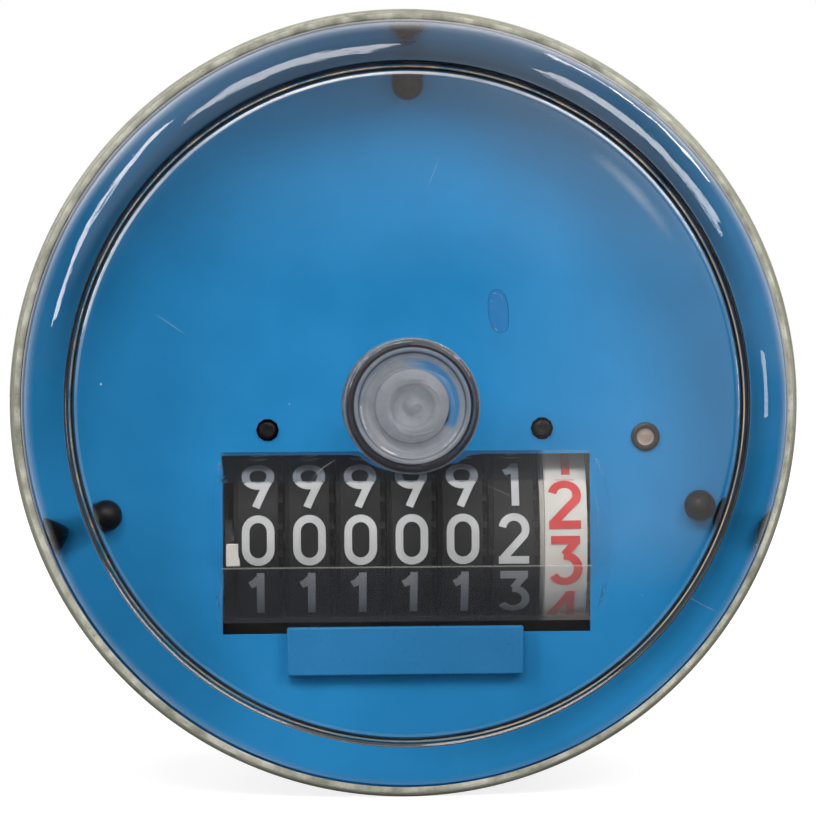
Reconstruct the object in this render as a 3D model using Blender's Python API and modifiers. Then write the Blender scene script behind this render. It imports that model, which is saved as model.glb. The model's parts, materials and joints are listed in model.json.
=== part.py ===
"""Wheel-hub odometer: a clear-fronted housing that turns with the wheel, and inside it a
weighted counter that hangs upright on the axle.

All sizes are metres. The datum is the front edge of the housing's rim, on the spin axis:
+Y runs to the rear, towards the mounting stud, +Z is up and +X is right as the dial is read.
The model is then moved along Y, so that its origin is the middle of its overall length.
"""
import math

import bmesh
import bpy
from mathutils import Matrix, Vector

MM = 0.001
FULL_TURN = 2 * math.pi
QUARTER_TURN = math.pi / 2

# Clearances
GAP = 0.3 * MM
RUNNING_GAP = 0.3 * MM
MERGE = 0.02 * MM

# Facets round a turned piece, by its size, and the angle above which an edge stays sharp
SMOOTH_LIMIT = math.radians(35)
LARGE_STEPS = 72
MIDDLE_STEPS = 24
SMALL_STEPS = 16
TINY_STEPS = 10

# The counter's wheels, from left to right, and the figure that each shows
WHEEL_NAMES = ("hundred_thousands", "ten_thousands", "thousands", "hundreds", "tens", "units")
WHEEL_DIGITS = (0, 0, 0, 0, 0, 2)
DIGIT_COUNT = 10
DIGIT_ANGLE = FULL_TURN / DIGIT_COUNT

# Axle, its front bush and the bushes of the hanging side
AXLE_RADIUS = 3.0 * MM
AXLE_CHAMFER = 0.5 * MM
AXLE_NOSE_STEP = 0.8 * MM
AXLE_NOSE_RADIUS = AXLE_RADIUS + AXLE_NOSE_STEP
AXLE_NOSE_LENGTH = 6.5 * MM
FRONT_BUSH_WALL = 0.5 * MM
FRONT_BUSH_LENGTH = 2.4 * MM
BUSH_WALL = 0.9 * MM
BUSH_RADIUS = AXLE_RADIUS + RUNNING_GAP + BUSH_WALL
BUSH_FLANGE = 0.7 * MM
BUSH_FLANGE_RADIUS = BUSH_RADIUS + BUSH_FLANGE
BUSH_FLANGE_THICKNESS = 0.6 * MM
BUSH_OVERHANG = 0.6 * MM

# Drive worm on the axle
WORM_PITCH = 1.5 * MM
WORM_DEPTH = 1.2 * MM
WORM_RADIUS = AXLE_RADIUS + WORM_DEPTH
WORM_TURNS = 5
WORM_COLLAR_STEP = 0.2 * MM
WORM_COLLAR_RADIUS = WORM_RADIUS + WORM_COLLAR_STEP
WORM_COLLAR_LENGTH = 1.2 * MM
WORM_BODY_MARGIN = 0.9 * MM

# Threads of both worms, as shares of the pitch
CREST_HALF_SHARE = 0.10
FLANK_HALF_SHARE = 0.27
ADDENDUM_SHARE = 0.27
DEDENDUM_SHARE = 0.36
THREAD_SINK = 0.12 * MM
THREAD_STEPS = 12

# Depths of the dial and of the plates in front
DIAL_FRONT = 11.0 * MM
DIAL_THICKNESS = 1.0 * MM
DIAL_BACK = DIAL_FRONT + DIAL_THICKNESS
FRAME_FRONT_THICKNESS = 1.2 * MM
FRAME_FRONT = DIAL_BACK + GAP
FRAME_BACK = FRAME_FRONT + FRAME_FRONT_THICKNESS

# Number wheels: a row a little right of the middle, just below the axle
WHEEL_RADIUS = 10.35 * MM
WHEEL_PROUD = 1.5 * MM
WHEEL_PITCH = 5.65 * MM
WHEEL_ROW_SHIFT = 0.75 * MM
WHEEL_SPACE = 1.25 * MM
WHEEL_SIDE_GAP = 0.25 * MM
WHEEL_DROP = 0.5 * MM
RIM_WIDTH = WHEEL_PITCH - WHEEL_SPACE
TENTHS_EXTRA_WIDTH = 0.3 * MM
TENTHS_RIM_WIDTH = RIM_WIDTH + TENTHS_EXTRA_WIDTH
SIDE_WIDTH = (WHEEL_SPACE - WHEEL_SIDE_GAP) / 2
SIDE_SINK = 0.3 * MM
NUMBER_SHAFT_RADIUS = 1.2 * MM
WHEEL_HUB_WALL = 1.4 * MM
WHEEL_HUB_RADIUS = NUMBER_SHAFT_RADIUS + WHEEL_HUB_WALL
NUMBER_AXIS_Y = DIAL_FRONT - WHEEL_PROUD + WHEEL_RADIUS
NUMBER_AXIS_Z = -BUSH_RADIUS - WHEEL_DROP - WHEEL_RADIUS
WHEEL_FIRST_X = WHEEL_ROW_SHIFT - WHEEL_PITCH * len(WHEEL_NAMES) / 2
TENTHS_X = WHEEL_FIRST_X + WHEEL_PITCH * len(WHEEL_NAMES) + TENTHS_EXTRA_WIDTH / 2
ROW_LEFT = WHEEL_FIRST_X - RIM_WIDTH / 2
ROW_RIGHT = TENTHS_X + TENTHS_RIM_WIDTH / 2

# Carry gear and lock disc on the sides of each wheel
CARRY_TEETH = 20
CARRY_INSET = 1.15 * MM
CARRY_PITCH_RADIUS = WHEEL_RADIUS - CARRY_INSET
CARRY_ADDENDUM = 0.6 * MM
CARRY_DEDENDUM = 1.0 * MM
LOCK_STEP = 0.15 * MM
LOCK_TOOTH_STEP = 0.65 * MM
LOCK_RADIUS = CARRY_PITCH_RADIUS + LOCK_STEP
LOCK_NOTCH_RADIUS = CARRY_PITCH_RADIUS - CARRY_DEDENDUM
LOCK_TOOTH_RADIUS = CARRY_PITCH_RADIUS + LOCK_TOOTH_STEP
LOCK_TOOTH_ANGLE = math.radians(9.0)
LOCK_TOOTH_HALF_ANGLE = math.radians(2.0)
LOCK_POINTS = 16

# Carry pinions, low behind the wheels
PINION_TEETH = 8
PINION_ADDENDUM = 0.72 * MM
PINION_DEDENDUM = 0.95 * MM
PINION_TILT = DIGIT_ANGLE / 2
PINION_SIDE_GAP = 0.225 * MM
PINION_WIDTH = WHEEL_SPACE - 2 * PINION_SIDE_GAP
PINION_SHAFT_RADIUS = 1.0 * MM
PINION_HUB_WALL = 0.9 * MM
PINION_HUB_RADIUS = PINION_SHAFT_RADIUS + PINION_HUB_WALL
PINION_PITCH_RADIUS = CARRY_PITCH_RADIUS * PINION_TEETH / CARRY_TEETH
PINION_DISTANCE = CARRY_PITCH_RADIUS + PINION_PITCH_RADIUS
AXIS_DECIMALS = 6
PINION_AXIS_Y = round(NUMBER_AXIS_Y + PINION_DISTANCE * math.sin(PINION_TILT), AXIS_DECIMALS)
PINION_AXIS_Z = round(NUMBER_AXIS_Z - PINION_DISTANCE * math.cos(PINION_TILT), AXIS_DECIMALS)
CARRY_ANGLE = QUARTER_TURN - PINION_TILT

# Tenths drive: gear on the wheel, worm on the upright cross shaft behind it
TENTHS_GEAR_TEETH = 20
TENTHS_GEAR_WIDTH = 1.6 * MM
TENTHS_GEAR_SPACE = 1.8 * MM
TENTHS_GEAR_X = ROW_RIGHT + TENTHS_GEAR_SPACE + TENTHS_GEAR_WIDTH / 2
COUNTER_WORM_PITCH = 1.25 * MM
COUNTER_WORM_DEPTH = 1.0 * MM
COUNTER_WORM_TURNS = 4
COUNTER_WORM_HALF = COUNTER_WORM_TURNS * COUNTER_WORM_PITCH / 2 + WORM_BODY_MARGIN
MESH_TURN_SHARE = 0.75
CROSS_SHAFT_RADIUS = 0.7 * MM
COUNTER_WORM_RADIUS = CROSS_SHAFT_RADIUS + COUNTER_WORM_DEPTH
TENTHS_GEAR_RADIUS = TENTHS_GEAR_TEETH * COUNTER_WORM_PITCH / FULL_TURN
CROSS_Y = NUMBER_AXIS_Y + TENTHS_GEAR_RADIUS + COUNTER_WORM_RADIUS

# First reduction: gear on a stub beside the axle, then two equal gears across to the shaft
DRIVE_GEAR_TEETH = 26
DRIVE_GEAR_WIDTH = 2.4 * MM
DRIVE_GEAR_RADIUS = DRIVE_GEAR_TEETH * WORM_PITCH / FULL_TURN
STUB_RADIUS = 1.3 * MM
STUB_X = WORM_RADIUS + DRIVE_GEAR_RADIUS
GEAR_HUB_WALL = 1.3 * MM
GEAR_HUB_RADIUS = STUB_RADIUS + GEAR_HUB_WALL
TRANSFER_TEETH = 20
TRANSFER_WIDTH = 2.2 * MM
TRANSFER_RISE = 1.7 * MM
TRANSFER_BOTTOM = DRIVE_GEAR_WIDTH / 2 + TRANSFER_RISE
TRANSFER_RADIUS = (TENTHS_GEAR_X - STUB_X) / 2
TRANSFER_ADDENDUM_SHARE = 0.8
TRANSFER_DEDENDUM_SHARE = 1.2

# Gear teeth, as shares of the angle from tooth to tooth
TOOTH_ROOT_SHARE = 0.64
TOOTH_TIP_SHARE = 0.22

# Shelves of the rear plate, and the shafts that stand in them
SHELF_THICKNESS = 1.2 * MM
SHELF_SPACE_ABOVE = 1.3 * MM
SHELF_SPACE_BELOW = 1.6 * MM
SHELF_STEP = 2.55 * MM
SHELF_WORM_GAP = 1.8 * MM
SHELF_OVERHANG = 3.2 * MM
SHAFT_OVERHANG = 0.8 * MM
SHAFT_FOOT = 0.2 * MM
SHELF_FRONT = NUMBER_AXIS_Y + SHELF_STEP
SHELF_LEFT = WORM_RADIUS + SHELF_WORM_GAP
SHELF_RIGHT = TENTHS_GEAR_X + SHELF_OVERHANG
UPPER_SHELF_BOTTOM = TRANSFER_BOTTOM + TRANSFER_WIDTH + SHELF_SPACE_ABOVE
LOWER_SHELF_BOTTOM = -DRIVE_GEAR_WIDTH / 2 - SHELF_SPACE_BELOW - SHELF_THICKNESS
STUB_TOP = UPPER_SHELF_BOTTOM + SHELF_THICKNESS + SHAFT_OVERHANG
STUB_BOTTOM = LOWER_SHELF_BOTTOM - SHAFT_FOOT
BEARING_DROP = 2.15 * MM
BEARING_HEIGHT = 1.8 * MM
BEARING_WIDTH = 3.6 * MM
BEARING_DEPTH = 4.4 * MM
BEARING_BOTTOM = NUMBER_AXIS_Z - COUNTER_WORM_HALF - BEARING_DROP - BEARING_HEIGHT
CROSS_SHAFT_TOP = STUB_TOP
CROSS_SHAFT_BOTTOM = BEARING_BOTTOM - SHAFT_FOOT

# Window in the dial, round the wheels and up round the hub
WINDOW_MARGIN_LEFT = 1.8 * MM
WINDOW_MARGIN_RIGHT = 0.4 * MM
WINDOW_MARGIN_BELOW = 0.1 * MM
WINDOW_LAP = 1.1 * MM
WINDOW_LEFT = ROW_LEFT - WINDOW_MARGIN_LEFT
WINDOW_RIGHT = ROW_RIGHT + WINDOW_MARGIN_RIGHT
WINDOW_TOP = NUMBER_AXIS_Z + WHEEL_RADIUS - WINDOW_LAP
WINDOW_BOTTOM = NUMBER_AXIS_Z - WHEEL_RADIUS - WINDOW_MARGIN_BELOW
LOBE_RISE = 2.0 * MM
LOBE_RADIUS = LOBE_RISE - WINDOW_TOP
LOBE_RIGHT_ANGLE = math.radians(25)
LOBE_POINTS = 9
WINDOW_FILLET = 4.0 * MM
WINDOW_FILLET_STEP = 0.7 * MM
WINDOW_FILLET_X = LOBE_RADIUS + WINDOW_FILLET_STEP
WINDOW_FILLET_POINTS = 4

# Window in the front plate behind it
FRAME_LAP_TOP = 0.4 * MM
FRAME_LAP_BOTTOM = 1.9 * MM
FRAME_MARGIN_LEFT = 1.0 * MM
FRAME_MARGIN_RIGHT = 1.2 * MM
FRAME_LOBE_RISE = 1.2 * MM
FRAME_WINDOW_LEFT = WINDOW_LEFT - FRAME_MARGIN_LEFT
FRAME_WINDOW_RIGHT = TENTHS_GEAR_X + TENTHS_GEAR_WIDTH / 2 + FRAME_MARGIN_RIGHT
FRAME_WINDOW_TOP = WINDOW_TOP + FRAME_LAP_TOP
FRAME_WINDOW_BOTTOM = WINDOW_BOTTOM + FRAME_LAP_BOTTOM
FRAME_LOBE_RADIUS = FRAME_LOBE_RISE - FRAME_WINDOW_TOP

# Rims of the dial, front plate and weight
DIAL_BORDER = 13.7 * MM
DIAL_RADIUS = DIAL_BORDER - WINDOW_BOTTOM
DIAL_POINTS = 48
FRAME_STEP = 0.8 * MM
FRAME_RADIUS = DIAL_RADIUS - FRAME_STEP
WEIGHT_STEP = 1.0 * MM
WEIGHT_RADIUS = DIAL_RADIUS - WEIGHT_STEP

# Pins, pegs, eyelet and the blank plate under the window
PIN_INSET = {"top": 4.0 * MM, "left": 6.3 * MM, "right": 6.4 * MM}
PIN_TOP_X = 0.6 * MM
PIN_LEFT_Z = -12.2 * MM
PIN_RIGHT_Z = -11.6 * MM
PIN_PLACES = {
    "top": (PIN_TOP_X, DIAL_RADIUS - PIN_INSET["top"]),
    "left": (PIN_INSET["left"] - DIAL_RADIUS, PIN_LEFT_Z),
    "right": (DIAL_RADIUS - PIN_INSET["right"], PIN_RIGHT_Z),
}
PIN_SHANK_RADIUS = 0.9 * MM
PIN_HEAD_LAP = 0.85 * MM
PIN_HEAD_RADIUS = PIN_SHANK_RADIUS + PIN_HEAD_LAP
PIN_HEAD_HEIGHT = 1.6 * MM
PIN_SIDE_SHANK = 6.0 * MM
PIN_TOP_SHANK = 3.1 * MM
PIN_HEAD_POINTS = 5
PEG_LEFT_X = -15.1 * MM
PEG_RIGHT_X = 15.3 * MM
PEG_RISE = 2.9 * MM
PEG_PLACES = {
    "left": (PEG_LEFT_X, WINDOW_TOP + PEG_RISE),
    "right": (PEG_RIGHT_X, WINDOW_TOP + PEG_RISE),
}
PEG_RADIUS = 0.95 * MM
PEG_PROUD = 0.5 * MM
EYELET_MARGIN = 6.2 * MM
EYELET_RISE = 1.9 * MM
EYELET_PLACE = (WINDOW_RIGHT + EYELET_MARGIN, WINDOW_TOP + EYELET_RISE)
EYELET_BORE_RADIUS = 0.65 * MM
EYELET_WALL = 0.45 * MM
EYELET_LAP = 0.5 * MM
EYELET_TUBE_RADIUS = EYELET_BORE_RADIUS + EYELET_WALL
EYELET_RADIUS = EYELET_TUBE_RADIUS + EYELET_LAP
EYELET_FLANGE = 0.4 * MM
UNIT_PLATE_WIDTH = 26.2 * MM
UNIT_PLATE_HEIGHT = 5.4 * MM
UNIT_PLATE_THICKNESS = 0.9 * MM
UNIT_PLATE_DROP = 1.9 * MM
UNIT_PLATE_CENTRE = WINDOW_BOTTOM - UNIT_PLATE_DROP
UNIT_PLATE_BEVEL = 0.25 * MM

# Clear shield over the wheels
SHIELD_LAP_LEFT = 0.9 * MM
SHIELD_LAP_RIGHT = 1.1 * MM
SHIELD_LAP_TOP = 0.5 * MM
SHIELD_GAP_BELOW = 0.5 * MM
SHIELD_RISE = 1.5 * MM
SHIELD_TOP_SLOPE = 3.3 * MM
SHIELD_BOTTOM_SLOPE = 6.2 * MM
SHIELD_END_SLOPE = 0.3 * MM
SHIELD_WALL = 0.8 * MM
SHIELD_LEFT = WINDOW_LEFT - SHIELD_LAP_LEFT
SHIELD_RIGHT = WINDOW_RIGHT + SHIELD_LAP_RIGHT
SHIELD_TOP = WINDOW_TOP + SHIELD_LAP_TOP
SHIELD_BOTTOM = UNIT_PLATE_CENTRE + UNIT_PLATE_HEIGHT / 2 + SHIELD_GAP_BELOW
SHIELD_HEIGHT = WHEEL_PROUD + SHIELD_RISE
SHIELD_FACE_TOP = SHIELD_TOP - SHIELD_TOP_SLOPE
SHIELD_FACE_BOTTOM = SHIELD_BOTTOM + SHIELD_BOTTOM_SLOPE

# Counterweight, a casting round the lower half that also carries both counter shafts
POCKET_MARGIN_LEFT = 2.2 * MM
POCKET_MARGIN_RIGHT = 0.6 * MM
POCKET_MARGIN_BELOW = 0.6 * MM
BEARING_MARGIN_BELOW = 0.6 * MM
WEIGHT_DROP = 0.4 * MM
WEIGHT_POINTS = 30
POCKET_LEFT = ROW_LEFT - POCKET_MARGIN_LEFT
POCKET_RIGHT = FRAME_WINDOW_RIGHT + POCKET_MARGIN_RIGHT
POCKET_BOTTOM = PINION_AXIS_Z - PINION_PITCH_RADIUS - PINION_ADDENDUM - POCKET_MARGIN_BELOW
POCKET_CHAMFER_LEFT = 4.0 * MM
POCKET_CHAMFER_RIGHT = BEARING_BOTTOM - BEARING_MARGIN_BELOW - POCKET_BOTTOM
WEIGHT_TOP = WINDOW_TOP - WEIGHT_DROP

# Counter shafts and the clips that hold the number shaft
CLIP_SHAFT_STEP = 1.2 * MM
CLIP_RADIUS = NUMBER_SHAFT_RADIUS + CLIP_SHAFT_STEP
CLIP_THICKNESS = 0.7 * MM
CLIP_OPENING = 1.4 * MM
CLIP_RECESS_MARGIN = 0.8 * MM
CLIP_RECESS_RADIUS = CLIP_RADIUS + CLIP_RECESS_MARGIN
CLIP_WALL_LEFT = 1.8 * MM
CLIP_WALL_RIGHT = 2.0 * MM
CLIP_RECESS_LEFT = POCKET_LEFT - CLIP_WALL_LEFT
CLIP_RECESS_RIGHT = POCKET_RIGHT + CLIP_WALL_RIGHT
SHAFT_END = 1.5 * MM
NUMBER_SHAFT_LEFT = CLIP_RECESS_LEFT - SHAFT_END
NUMBER_SHAFT_RIGHT = CLIP_RECESS_RIGHT + SHAFT_END
PINION_SEAT_LEFT = 3.4 * MM
PINION_SEAT_SHORT = 1.4 * MM
PINION_SHAFT_LEFT = POCKET_LEFT - PINION_SEAT_LEFT
PINION_SHAFT_RIGHT = POCKET_RIGHT - PINION_SEAT_SHORT
COLLAR_WALL = 0.8 * MM
COLLAR_RADIUS = NUMBER_SHAFT_RADIUS + COLLAR_WALL

# Screws, posts and rear plate
SCREW_RADIUS = 0.9 * MM
SCREW_LENGTH = 5.0 * MM
SCREW_HEAD_LAP = 0.9 * MM
SCREW_HEAD_RADIUS = SCREW_RADIUS + SCREW_HEAD_LAP
SCREW_HEAD_HEIGHT = 0.9 * MM
SCREW_SLOT_WIDTH = 0.5 * MM
SCREW_SLOT_DEPTH = 0.4 * MM
POST_WALL = 1.0 * MM
POST_BORE_RADIUS = SCREW_RADIUS + GAP
POST_RADIUS = POST_BORE_RADIUS + POST_WALL
POST_BORE_DEPTH = SCREW_LENGTH
POST_ACROSS = 19.0 * MM
POST_RISE = 3.6 * MM
POST_UP = STUB_TOP + POST_RISE
POST_PLACES = {"left": (-POST_ACROSS, POST_UP), "right": (POST_ACROSS, POST_UP)}
WEIGHT_SCREW_INSET_LEFT = 3.6 * MM
WEIGHT_SCREW_INSET_RIGHT = 3.2 * MM
WEIGHT_SCREW_RISE = 3.05 * MM
WEIGHT_SCREW_UP = NUMBER_AXIS_Z + WEIGHT_SCREW_RISE
WEIGHT_SCREW_PLACES = {
    "left": (POCKET_LEFT - WEIGHT_SCREW_INSET_LEFT, WEIGHT_SCREW_UP),
    "right": (POCKET_RIGHT + WEIGHT_SCREW_INSET_RIGHT, WEIGHT_SCREW_UP),
}
REAR_PLATE_SPACE = 2.7 * MM
REAR_PLATE_THICKNESS = 1.2 * MM
REAR_PLATE_FRONT = NUMBER_AXIS_Y + WHEEL_RADIUS + REAR_PLATE_SPACE
REAR_PLATE_BACK = REAR_PLATE_FRONT + REAR_PLATE_THICKNESS
REAR_PLATE_MARGIN_LEFT = 2.8 * MM
REAR_PLATE_MARGIN_RIGHT = 2.4 * MM
REAR_PLATE_MARGIN_TOP = 4.0 * MM
REAR_PLATE_REACH_DOWN = 7.45 * MM
REAR_PLATE_LEFT = WEIGHT_SCREW_PLACES["left"][0] - REAR_PLATE_MARGIN_LEFT
REAR_PLATE_RIGHT = WEIGHT_SCREW_PLACES["right"][0] + REAR_PLATE_MARGIN_RIGHT
REAR_PLATE_TOP = POST_UP + REAR_PLATE_MARGIN_TOP
REAR_PLATE_BOTTOM = NUMBER_AXIS_Z - REAR_PLATE_REACH_DOWN
REAR_PLATE_CORNER = 4.0 * MM
WEIGHT_BACK = REAR_PLATE_FRONT - GAP

# Housing: chamber round the hanging side, rim, seat of the cover and rear hub
CHAMBER_SPACE = 1.0 * MM
CHAMBER_RADIUS = DIAL_RADIUS + CHAMBER_SPACE
BACK_SPACE = 1.9 * MM
CHAMBER_DEPTH = REAR_PLATE_BACK + BACK_SPACE
CHAMBER_CORNER = 2.0 * MM
BODY_WALL = 1.7 * MM
BODY_RADIUS = CHAMBER_RADIUS + BODY_WALL
BACK_WALL = 2.2 * MM
BACK_DEPTH = CHAMBER_DEPTH + BACK_WALL
BACK_ROUNDING = 5.0 * MM
BACK_ROUNDING_POINTS = 3
RIM_STEP = 2.8 * MM
RIM_RADIUS = CHAMBER_RADIUS + RIM_STEP
RIM_ROUNDING = 0.5 * MM
LIP_WALL = 1.2 * MM
LIP_RADIUS = RIM_RADIUS - LIP_WALL
LIP_DEPTH = 0.9 * MM
LIP_UNDERCUT = 0.65 * MM
SEAT_RADIUS = LIP_RADIUS + LIP_UNDERCUT
FOOT_LENGTH = 4.8 * MM
FOOT_FRONT = LIP_DEPTH + GAP
FOOT_BACK = FOOT_FRONT + FOOT_LENGTH
SEAL_THICKNESS = 1.1 * MM
SEAL_STEP = 1.0 * MM
SEAL_RADIUS = CHAMBER_RADIUS + SEAL_STEP
SEAL_RING_STEPS = 6
SEAT_DEPTH = FOOT_BACK + SEAL_THICKNESS + 2 * GAP
BAND_WALL = 0.9 * MM
BAND_DEPTH = SEAT_DEPTH + BAND_WALL
BAND_SLOPE = 1.6 * MM
AXLE_SOCKET_DEPTH = 3.4 * MM
STUD_SHANK_LENGTH = 2.4 * MM
HUB_WALL = 1.4 * MM
HUB_DEPTH = CHAMBER_DEPTH + AXLE_SOCKET_DEPTH + HUB_WALL + GAP + STUD_SHANK_LENGTH
STUD_RELIEF_DEPTH = 0.5 * MM
STUD_RELIEF_GAP = 0.5 * MM
HUB_FILLET = 1.2 * MM

# Clear cover: flat face, rounded shoulder, straight wall and central boss
FOOT_RADIUS = SEAT_RADIUS - GAP
COVER_RADIUS = LIP_RADIUS - GAP
COVER_WALL = 2.0 * MM
SHOULDER_RADIUS = 5.6 * MM
SHOULDER_POINTS = 6
FACE_HEIGHT = 8.0 * MM
FACE_WALL = 2.5 * MM
FACE_RADIUS = COVER_RADIUS - SHOULDER_RADIUS
INNER_SHOULDER_RADIUS = 3.2 * MM
INNER_SHOULDER_POINTS = 3
INNER_FACE_RADIUS = COVER_RADIUS - COVER_WALL - INNER_SHOULDER_RADIUS
BOSS_WALL = 2.15 * MM
BOSS_HEIGHT = 18.0 * MM
BOSS_ROUNDING = 0.65 * MM
BOSS_END_WALL = 3.0 * MM
BOSS_BORE_RADIUS = AXLE_NOSE_RADIUS + FRONT_BUSH_WALL + 2 * GAP
BOSS_RADIUS = BOSS_BORE_RADIUS + BOSS_WALL

# Mounting stud, nut and washer
STUD_RADIUS = 6.35 * MM
STUD_THREAD_DEPTH = 0.8 * MM
STUD_SHANK_STEP = 1.05 * MM
STUD_ROOT_RADIUS = STUD_RADIUS - STUD_THREAD_DEPTH
STUD_SHANK_RADIUS = STUD_ROOT_RADIUS - STUD_SHANK_STEP
STUD_PITCH = 1.954 * MM
STUD_CREST_HALF_SHARE = 0.08
STUD_FLANK_HALF_SHARE = 0.46
STUD_THREAD_TURNS = 6
STUD_CHAMFER = 0.8 * MM
HUB_FACE_WIDTH = 6.65 * MM
HUB_RADIUS = STUD_RADIUS + HUB_FACE_WIDTH
BRACKET_SPACE = 3.0 * MM
NUT_THICKNESS = 6.0 * MM
NUT_WALL = 3.15 * MM
NUT_ACROSS_FLATS = 2 * (STUD_RADIUS + NUT_WALL)
NUT_CHAMFER = 1.0 * MM
NUT_CORNER_COUNT = 6
WASHER_THICKNESS = 2.2 * MM
WASHER_WIDTH = 3.25 * MM
WASHER_RADIUS = STUD_RADIUS + WASHER_WIDTH
WASHER_SLIT = 1.0 * MM
WASHER_SLIT_TILT = math.radians(25)
STUD_PROUD = 2.2 * MM
STUD_LENGTH = BRACKET_SPACE + WASHER_THICKNESS + NUT_THICKNESS + 2 * GAP + STUD_PROUD
STUD_END = HUB_DEPTH + STUD_LENGTH
MIDDLE_Y = (STUD_END - BOSS_HEIGHT) / 2

# Colour, roughness and metallic value of each material
FINISHES = {
    "zinc_casting": ((0.42, 0.43, 0.41), 0.5, 0.9),
    "steel": ((0.55, 0.56, 0.57), 0.35, 1.0),
    "brass": ((0.72, 0.55, 0.26), 0.35, 1.0),
    "clear_plastic": ((0.85, 0.88, 0.9), 0.08, 0.0),
    "rubber": ((0.02, 0.02, 0.02), 0.7, 0.0),
    "blue_paint": ((0.02, 0.23, 0.56), 0.4, 0.0),
    "black_plastic": ((0.02, 0.02, 0.02), 0.4, 0.0),
    "white_plastic": ((0.75, 0.74, 0.7), 0.4, 0.0),
    "nylon": ((0.7, 0.68, 0.6), 0.5, 0.0),
    "lead_alloy": ((0.22, 0.22, 0.23), 0.6, 0.8),
    "frame_steel": ((0.10, 0.09, 0.08), 0.5, 0.6),
}


# Scene, collections and parents

def clear_scene():
    for thing in list(bpy.data.objects):
        bpy.data.objects.remove(thing, do_unlink=True)


def make_collection(name):
    collection = bpy.data.collections.new(name)
    bpy.context.scene.collection.children.link(collection)
    return collection


def make_materials():
    materials = {}
    for name, (colour, roughness, metallic) in FINISHES.items():
        material = bpy.data.materials.new(name)
        material.use_nodes = True
        shader = material.node_tree.nodes["Principled BSDF"]
        shader.inputs["Base Color"].default_value = (*colour, 1.0)
        shader.inputs["Roughness"].default_value = roughness
        shader.inputs["Metallic"].default_value = metallic
        materials[name] = material
    return materials


clear_scene()
PARTS = make_collection("hubodometer")
CUTTERS = make_collection("cutters")
MATERIALS = make_materials()


def make_empty(name, place, parent=None):
    empty = bpy.data.objects.new(name, None)
    PARTS.objects.link(empty)
    empty.location = place
    empty.parent = parent
    return empty


# The whole part hangs on this empty, which moves the datum to the middle of the length
ORIGIN = make_empty("datum", (0, -MIDDLE_Y, 0))
# The hanging side turns on this one, about the spin axis
PENDULUM = make_empty("pendulum_pivot", (0, 0, 0), ORIGIN)


def lay(axis):
    """Rotation that lays an object's own Z along a world axis."""
    if axis == "X":
        return Matrix.Rotation(QUARTER_TURN, 4, "Y")
    if axis == "Y":
        return Matrix.Rotation(-QUARTER_TURN, 4, "X")
    return Matrix.Identity(4)


def place(thing, finish, location, axis, parent, spin=0.0):
    """Puts a finished piece in the collection, its Z along the axis and turned about it."""
    PARTS.objects.link(thing)
    thing.data.materials.clear()
    thing.data.materials.append(MATERIALS[finish])
    thing.parent = parent
    thing.location = location
    thing.rotation_euler = (lay(axis) @ Matrix.Rotation(spin, 4, "Z")).to_euler()
    thing.data.shade_smooth()
    thing.data.set_sharp_from_angle(angle=SMOOTH_LIMIT)
    return thing


# Shapes

def turned_mesh(points, steps, closed):
    """A turned body: (radius, height) points down the outer side and back up the inner."""
    mesh = bpy.data.meshes.new("profile")
    count = len(points)
    edges = [(index, index + 1) for index in range(count - 1)]
    if closed:
        edges.append((count - 1, 0))
    mesh.from_pydata([(radius, 0, height) for radius, height in points], edges, [])
    blank = bpy.data.objects.new("blank", mesh)
    bpy.context.scene.collection.objects.link(blank)
    screw = blank.modifiers.new("turn", "SCREW")
    screw.angle = FULL_TURN
    screw.steps = steps
    screw.render_steps = steps
    screw.use_merge_vertices = True
    screw.merge_threshold = MERGE
    return freeze(blank)


def freeze(blank):
    """The evaluated mesh of an object, which is then removed."""
    bpy.context.view_layer.update()
    graph = bpy.context.evaluated_depsgraph_get()
    mesh = bpy.data.meshes.new_from_object(blank.evaluated_get(graph))
    mesh.transform(blank.matrix_world)
    bpy.data.objects.remove(blank, do_unlink=True)
    body = bmesh.new()
    body.from_mesh(mesh)
    bmesh.ops.remove_doubles(body, verts=body.verts, dist=MERGE)
    bmesh.ops.recalc_face_normals(body, faces=body.faces)
    body.to_mesh(mesh)
    body.free()
    return mesh


def ring(outer, inner, bottom, top):
    """Profile of a plain ring, or of a disc where the inner radius is zero."""
    if inner == 0:
        return [(0, top), (outer, top), (outer, bottom), (0, bottom)]
    return [(outer, top), (outer, bottom), (inner, bottom), (inner, top)]


def ring_mesh(outer, inner, bottom, top, steps=MIDDLE_STEPS):
    return turned_mesh(ring(outer, inner, bottom, top), steps, closed=inner > 0)


def plate_mesh(outlines, bottom, top):
    """A flat piece: an outline and any holes, filled and raised from bottom to top."""
    curve = bpy.data.curves.new("outline", "CURVE")
    curve.dimensions = "2D"
    curve.fill_mode = "BOTH"
    curve.extrude = (top - bottom) / 2
    for outline in outlines:
        spline = curve.splines.new("POLY")
        spline.points.add(len(outline) - 1)
        for point, (across, along) in zip(spline.points, outline):
            point.co = (across, along, 0, 1)
        spline.use_cyclic_u = True
    blank = bpy.data.objects.new("blank", curve)
    bpy.context.scene.collection.objects.link(blank)
    blank.location.z = (top + bottom) / 2
    return freeze(blank)


def box_mesh(low, high):
    body = bmesh.new()
    bmesh.ops.create_cube(body, size=1)
    size = Vector(high) - Vector(low)
    middle = (Vector(high) + Vector(low)) / 2
    bmesh.ops.scale(body, vec=size, verts=body.verts)
    bmesh.ops.translate(body, vec=middle, verts=body.verts)
    mesh = bpy.data.meshes.new("box")
    body.to_mesh(mesh)
    body.free()
    return mesh


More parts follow.
